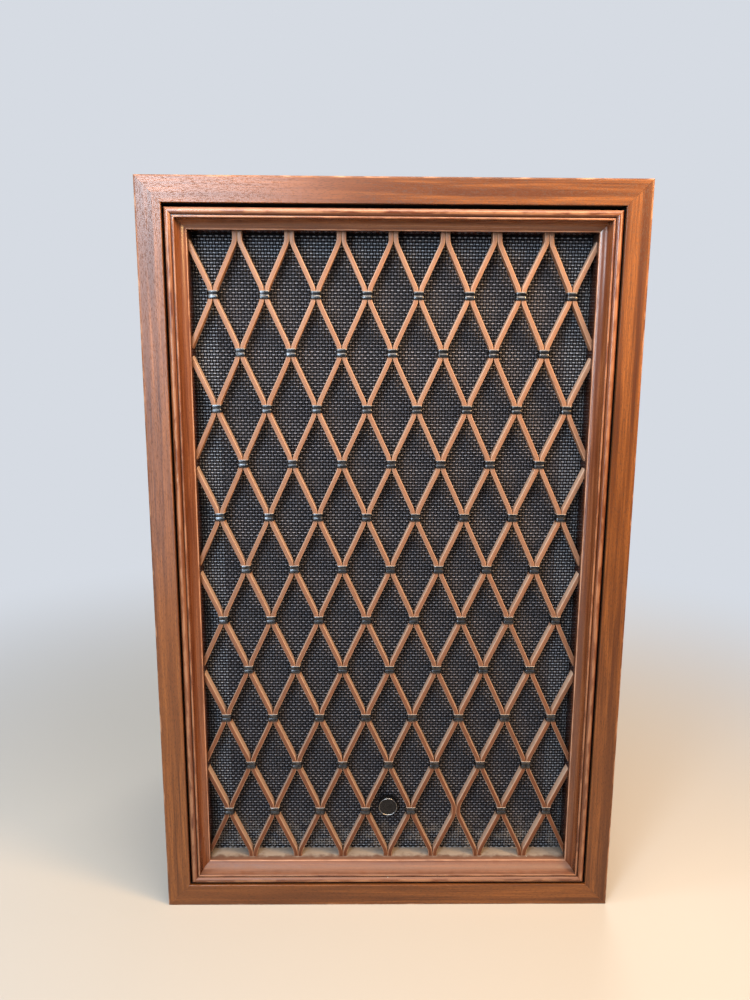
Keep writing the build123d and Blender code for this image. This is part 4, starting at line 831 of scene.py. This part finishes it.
def thread_finish(name, dark, light, edge_light, rise):
    """Twisted yarn, each thread a little different. A painted highlight lies only along its crest where it
    rises over a crossing, between the two shares of its swing given as rise, and is brighter round the
    border, where the cloth lies on its battens. Elsewhere the thread keeps a dark colour, its own and painted
    shade where it dips under. Lint lies on it, and dust low down."""
    material, tree, shader = finish(name, {"Specular IOR Level": 0.15})
    spot = object_spot(tree)
    where = parts(spot)
    fibre = noise(spot, 2200.0, 2.0)
    shade = scaled(attribute(tree, "yarn"), 0.4, fibre)
    off_side = math_of("ABSOLUTE", where[0])
    off_end = math_of("ABSOLUTE", math_of("SUBTRACT", where[2], cloth_middle))
    side_border = fade(off_side, batten_inside[0], batten_inside[0] + MM)
    end_border = fade(off_end, batten_inside[1], batten_inside[1] + MM)
    border = math_of("MAXIMUM", side_border, end_border)
    crest_highlight_colour = blend(fade(shade, 0.4, 1.0), paint(*dark), paint(*light))
    crest_highlight_colour = tint(crest_highlight_colour, border, 0.4, edge_light)
    # Painted highlight along the crest where the thread rises; its own dark colour and painted shade
    # elsewhere.
    crest = fade(attribute(tree, "crest"), 0.2, 0.9)
    raised = times(fade(attribute(tree, "over"), *rise), crest)
    colour = blend(raised, paint(42, 41, 44), crest_highlight_colour)
    lint = fade(noise(spot, 330.0, 1.0), 0.80, 0.83)
    low = fade(where[2], 0.075, 0.034)
    paled = times(low, fade(noise(spot, 120.0, 4.0), 0.35, 0.75))
    lint = math_of("MAXIMUM", lint, times(paled, 0.7))
    coat(shader, blend(lint, colour, paint(150, 142, 134)), scaled(fibre, 0.2, 0.35))
    bump(shader, fibre, 0.3, 0.1 * MM)
    return material


# Each yarn's crest colours, which carry its painted highlight, and the brighter ones for the border.
level_yarn = thread_finish("level_yarn", (100, 99, 107), (162, 159, 166), (200, 207, 218), (-0.25, 0.65))
upright_yarn = thread_finish("upright_yarn", (56, 56, 63), (104, 103, 112), (160, 169, 184), (0.2, 0.95))
level_threads = place(woven("level_threads", True, 1.5 * MM, 0.42 * MM), level_yarn)
upright_threads = place(woven("upright_threads", False, 1.4 * MM, 0.42 * MM), upright_yarn)

# Painted shade: a near-black sheet just behind the threads, standing in for the shade and the black baffle
# seen through the weave.
sheet_width = 331 * MM
sheet_length = 547 * MM
sheet_depth = cloth_front + 0.85 * MM
sheet_sag = 0.08 * MM
grid_columns, grid_rows = 41, 61
sheet_u, sheet_v = np.meshgrid(np.linspace(-0.5, 0.5, grid_columns), np.linspace(-0.5, 0.5, grid_rows))
sheet_x = sheet_u * sheet_width
sheet_z = cloth_middle + sheet_v * sheet_length
sheet_y = front_y + sheet_depth + sheet_sag * np.sin(sheet_x * 60) * np.cos(sheet_z * 45)
sheet_points = np.stack([sheet_x, sheet_y, sheet_z], axis=-1)
sheet_index = np.arange(grid_columns * grid_rows).reshape(grid_rows, grid_columns)
sheet_faces = np.stack(
    [sheet_index[:-1, :-1], sheet_index[:-1, 1:], sheet_index[1:, 1:], sheet_index[1:, :-1]], axis=-1
)
shade_sheet_mesh = bpy.data.meshes.new("cloth_shade_sheet")
shade_sheet_mesh.from_pydata(sheet_points.reshape(-1, 3).tolist(), [], sheet_faces.reshape(-1, 4).tolist())
shade_sheet_mesh.shade_smooth()
shade_sheet_black, tree, shader = finish("cloth_shade_sheet", {"Roughness": 0.9, "Specular IOR Level": 0.05})
colour = blend(noise(object_spot(tree), 800.0), paint(14, 14, 15), paint(28, 27, 28))
feed(shader.inputs["Base Color"], colour)
cloth = place(shade_sheet_mesh, shade_sheet_black)
for piece in (cloth, level_threads, upright_threads):
    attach(piece, "grille")
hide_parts("grille_cloth")

# Lattice: sixteen zigzag strips of pale hardwood, steam-bent and stained, set on edge between the rails.
# Neighbours are mirror images that meet side by side at each row; the outermost two are cut at the frame,
# so that only their inner bends show.
column_pitch = 39.625 * MM
row_pitch = 43.65 * MM
first_row = 558.2 * MM
strip_width = 3.6 * MM
strip_depth = 7.0 * MM
strip_front = 18.0 * MM
strip_meet = 1.85 * MM
strip_top = 561.1 * MM
strip_bottom = 34.3 * MM
strip_cut = 155.4 * MM
meeting_half = 4.5 * MM
bend_radius = 14 * MM
bend_points = 6
row_count = 13


def zigzag(side):
    """Centre line (x, z) and direction of one strip, before it is moved to its column. Straight runs join the
    meetings, and each corner is a short parabola from the run before it to the run after it."""
    row = np.arange(row_count)
    row_x = side * np.where(row % 2 == 1, strip_meet, column_pitch / 2 - strip_meet)
    row_z = first_row - row * row_pitch
    above = np.stack([row_x, row_z + meeting_half], axis=1)
    below = np.stack([row_x, row_z - meeting_half], axis=1)
    corners = np.stack([above, below], axis=1).reshape(-1, 2)[1:-1]
    ends = np.array([[row_x[0], strip_top], [row_x[-1], strip_bottom]])
    line = np.concatenate([ends[:1], corners, ends[1:]])
    run = np.diff(line, axis=0)
    run = run / np.linalg.norm(run, axis=1, keepdims=True)
    turn = np.arccos(np.clip((run[:-1] * run[1:]).sum(axis=1), -1, 1))
    reach = (bend_radius * np.tan(turn / 2))[:, None, None]
    share = np.linspace(0, 1, bend_points)[None, :, None]
    start = corners[:, None] - reach * run[:-1, None]
    end = corners[:, None] + reach * run[1:, None]
    bends = start * (1 - share) ** 2 + 2 * corners[:, None] * share * (1 - share) + end * share**2
    heading = run[:-1, None] * (1 - share) + run[1:, None] * share
    path = np.concatenate([ends[:1], bends.reshape(-1, 2), ends[1:]])
    heading = np.concatenate([run[:1], heading.reshape(-1, 2), run[-1:]])
    return path, heading / np.linalg.norm(heading, axis=1, keepdims=True)


edge_round = 0.7 * MM
half_width = strip_width / 2
strip_section = np.concatenate(
    [
        arc((-half_width + edge_round, edge_round), edge_round, 180, 270, 4),
        [[0, -0.02 * MM]],
        arc((half_width - edge_round, edge_round), edge_round, 270, 360, 4),
        [[half_width, strip_depth / 2], [half_width, strip_depth], [-half_width, strip_depth]],
        [[-half_width, strip_depth / 2]],
    ]
)
# Marks on the section's points: the front face, and the edges that rub first.
strip_face = np.array([0.0, 0.5, 0.9, 1, 1, 1, 0.9, 0.5, 0.0, 0.0, 0.0, 0.0, 0.0])
strip_worn = np.array([0.3, 1, 1, 0.5, 0, 0.5, 1, 1, 0.3, 0.0, 0.0, 0.0, 0.0])

strip_wood, tree, shader, figure, rub = wood(
    "strip_wood",
    {"IOR": 1.45, "Specular IOR Level": 0.4},
    bands=420.0,
    pores=2400.0,
    edge_mark="wear_and_highlight",
    rub_amount=0.72,
)
spot = object_spot(tree)
# Painted light: the fronts are painted paler towards the top and darker towards the bottom, as the light
# falls from above.
painted_light_by_height = fade(parts(spot)[2], 0.05, 0.42)
front_colour = blend(painted_light_by_height, paint(90, 49, 28), paint(142, 107, 86))
front_colour = tint(front_colour, figure["Bands"], 0.45, (124, 74, 45))
front_colour = tint(front_colour, figure["Pores"], 0.25, (104, 58, 36))
side_colour = blend(figure["Streaks"], paint(112, 72, 48), paint(150, 110, 84))
colour = blend(attribute(tree, "face"), side_colour, front_colour)
colour = tint(colour, rub, 0.65, (180, 138, 110))
# Upward faces turn pale: dust, and in part painted light on the faces that turn up.
patches = fade(noise(spot, 300.0, 3.0), 0.1, 0.5)
paled = times(fade(facing_up(tree), 0.10, 0.42), patches)
colour = tint(colour, paled, 0.65, (178, 156, 140))
coat(shader, colour, scaled(figure["Bands"], 0.12, 0.42))
bump(shader, figure["Pores"], 0.2, 0.1 * MM, sunk=True)

column_count = 8
columns = (np.arange(column_count) - (column_count - 1) / 2) * column_pitch
grain_apart = 7.3


def strip_rings(path, heading, shift):
    """Rings of strips along one centre line, moved by each shift (x, z), with their grain: distance along the
    strip, distance across it and depth."""
    across = strip_section[None, None, :, 0]
    back = strip_section[None, None, :, 1]
    x = shift[:, None, None, 0] + path[None, :, None, 0] + heading[None, :, None, 1] * across
    z = shift[:, None, None, 1] + path[None, :, None, 1] - heading[None, :, None, 0] * across
    y = np.broadcast_to(front_y + strip_front + back, x.shape)
    travel = np.concatenate([[0], np.cumsum(np.linalg.norm(np.diff(path, axis=0), axis=1))])
    apart = grain_apart * shift.sum(axis=1)[:, None, None] + path[0, 0]
    along = np.broadcast_to(travel[None, :, None] + apart, x.shape)
    aside = np.broadcast_to(across + apart, x.shape)
    return np.stack([x, y, z], axis=-1), np.stack([along, aside, y], axis=-1)


def cut_at_frame(rings, runs, side):
    """Slides both end rings along their own run on to the frame's inner face."""
    for station, run in zip((0, -1), runs):
        ring = rings[:, station]
        slide = (side * strip_cut - ring[..., 0]) / run[0]
        ring[..., 0] += slide * run[0]
        ring[..., 2] += slide * run[1]


# An inner bend of an outer strip reaches from the end of one outer corner to the start of the next one.
inner_bend = slice(bend_points, 3 * bend_points + 2)
inner_bends = row_count // 2
for hand, side in (("odd", -1), ("even", 1)):
    path, heading = zigzag(side)
    whole = columns[1:] if side < 0 else columns[:-1]
    outer = columns[0] if side < 0 else columns[-1]
    whole_rings, whole_grain = strip_rings(path, heading, np.stack([whole, np.zeros(len(whole))], axis=1))
    drops = np.stack([np.full(inner_bends, outer), -2 * row_pitch * np.arange(inner_bends)], axis=1)
    bend_path, bend_heading = path[inner_bend], heading[inner_bend]
    bend_rings, bend_grain = strip_rings(bend_path, bend_heading, drops)
    cut_at_frame(bend_rings, (bend_heading[0], bend_heading[-1]), side)
    for name, rings, grain_of in (
        (f"zigzag_{hand}", whole_rings, whole_grain),
        (f"zigzag_{hand}_cut", bend_rings, bend_grain),
    ):
        marks = {"grain": grain_of, "face": strip_face, "wear_and_highlight": strip_worn}
        strips = place(carried_section(name, rings, marks=marks, crease=40), strip_wood)
        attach(strips, "grille")
        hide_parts(f"lattice_strips_{hand}")

# Clips: bands of dark plated steel folded round each pair of strips, rolled with a groove round the middle.
# One is missing, low down and right of the middle, as in the photograph.
clip_hole = (7.5 * MM, 7.2 * MM)
clip_corner = 0.9 * MM
clip_middle_y = front_y + strip_front + strip_depth / 2
missing_clip = (11, 5)
# Half of the band's outline, from its lower edge to the groove: how far out, and how far below the middle.
clip_half = np.array([[0.0, -3.25], [0.22, -3.25], [0.5, -2.95], [0.6, -2.2], [0.56, -1.0], [0.3, -0.35]])
clip_groove = [[0.1, 0.0]]
clip_profile = np.concatenate([clip_half, clip_groove, clip_half[::-1] * [1, -1]]) * MM
quarter = np.radians(np.array([0, 30, 60, 90]))
turns = np.concatenate([quarter + math.pi / 2 * k for k in range(4)])
corner_x = np.repeat([1, -1, -1, 1], 4) * (clip_hole[0] / 2 - clip_corner)
corner_y = np.repeat([1, 1, -1, -1], 4) * (clip_hole[1] / 2 - clip_corner)
clip_counts = [(row, column_count if row % 2 else column_count - 1) for row in range(1, row_count - 1)]
clip_places = np.array(
    [
        [(column - (count - 1) / 2) * column_pitch, clip_middle_y, first_row - row * row_pitch]
        for row, count in clip_counts
        for column in range(count)
        if (row, column) != missing_clip
    ]
)
clip_reach = clip_corner + clip_profile[None, :, 0]
clip_ring = np.stack(
    [
        corner_x[:, None] + np.cos(turns)[:, None] * clip_reach,
        corner_y[:, None] + np.sin(turns)[:, None] * clip_reach,
        np.broadcast_to(clip_profile[None, :, 1], (len(turns), len(clip_profile))),
    ],
    axis=-1,
)
clip_rings = clip_places[:, None, None, :] + clip_ring[None]

gunmetal, tree, shader = finish("clip_metal")
tarnish = noise(object_spot(tree), 350.0, 4.0)
colour = blend(fade(tarnish, 0.35, 0.7), paint(84, 85, 88), paint(48, 46, 45))
dusty = times(fade(facing_up(tree), 0.45, 0.8), 0.75)
gloss = scaled(tarnish, 0.25, 0.14)
coat(shader, blend(dusty, colour, paint(176, 160, 148)), scaled(dusty, 0.4, gloss))
feed(shader.inputs["Metallic"], scaled(dusty, -1.0, 1.0))
clips = place(carried_section("crossing_clips", clip_rings, looped=True, crease=60), gunmetal)
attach(clips, "grille")
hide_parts("lattice_clips")

# Badge: a small round plate of dark lacquered metal with a raised bright ring, left bare in the middle.
# Its pin goes through the cloth and is held by a washer behind it.
badge_x, badge_z = 0.0, 78.05 * MM
# The badge's outline, from the middle of its face round to the middle of its washer: radius, and depth.
badge_line = np.array(
    [
        [0.0, 24.2], [5.5, 24.2], [7.3, 24.1], [7.5, 23.7], [7.7, 23.55], [7.9, 23.5], [8.1, 23.6],
        [8.25, 23.9], [8.5, 24.2], [8.65, 24.6], [8.75, 25.2], [8.75, 29.2], [8.5, 29.9], [1.5, 29.95],
        [1.5, 31.02], [5.0, 31.02], [5.0, 31.8], [0.0, 31.8],
    ]
) * MM
badge_turn = np.radians(np.arange(0, 360, 7.5))[:, None]
badge_rings = np.stack(
    [
        badge_x + np.cos(badge_turn) * badge_line[:, 0],
        np.broadcast_to(front_y + badge_line[:, 1], (len(badge_turn), len(badge_line))),
        badge_z + np.sin(badge_turn) * badge_line[:, 0],
    ],
    axis=-1,
)[None]
raised_ring = slice(3, 7)
badge_ring = np.zeros(len(badge_line))
badge_ring[raised_ring] = 1.0
badge_metal, tree, shader = finish("badge_metal", {"IOR": 1.5, "Specular IOR Level": 0.2})
tarnish = noise(object_spot(tree), 900.0, 4.0)
dulled = fade(tarnish, 0.35, 0.7)
ring_mask = fade(attribute(tree, "ring"), 0.4, 0.6)
lacquer = blend(dulled, paint(16, 16, 18), paint(34, 32, 32))
bright = blend(dulled, paint(150, 150, 150), paint(104, 103, 102))
coat(shader, blend(ring_mask, lacquer, bright), scaled(tarnish, 0.3, 0.15))
feed(shader.inputs["Metallic"], ring_mask)
marks = {"ring": badge_ring}
badge_mesh = carried_section("round_badge", badge_rings, looped=True, marks=marks, crease=40)
badge = place(badge_mesh, badge_metal)
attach(badge, "grille")
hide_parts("badge")
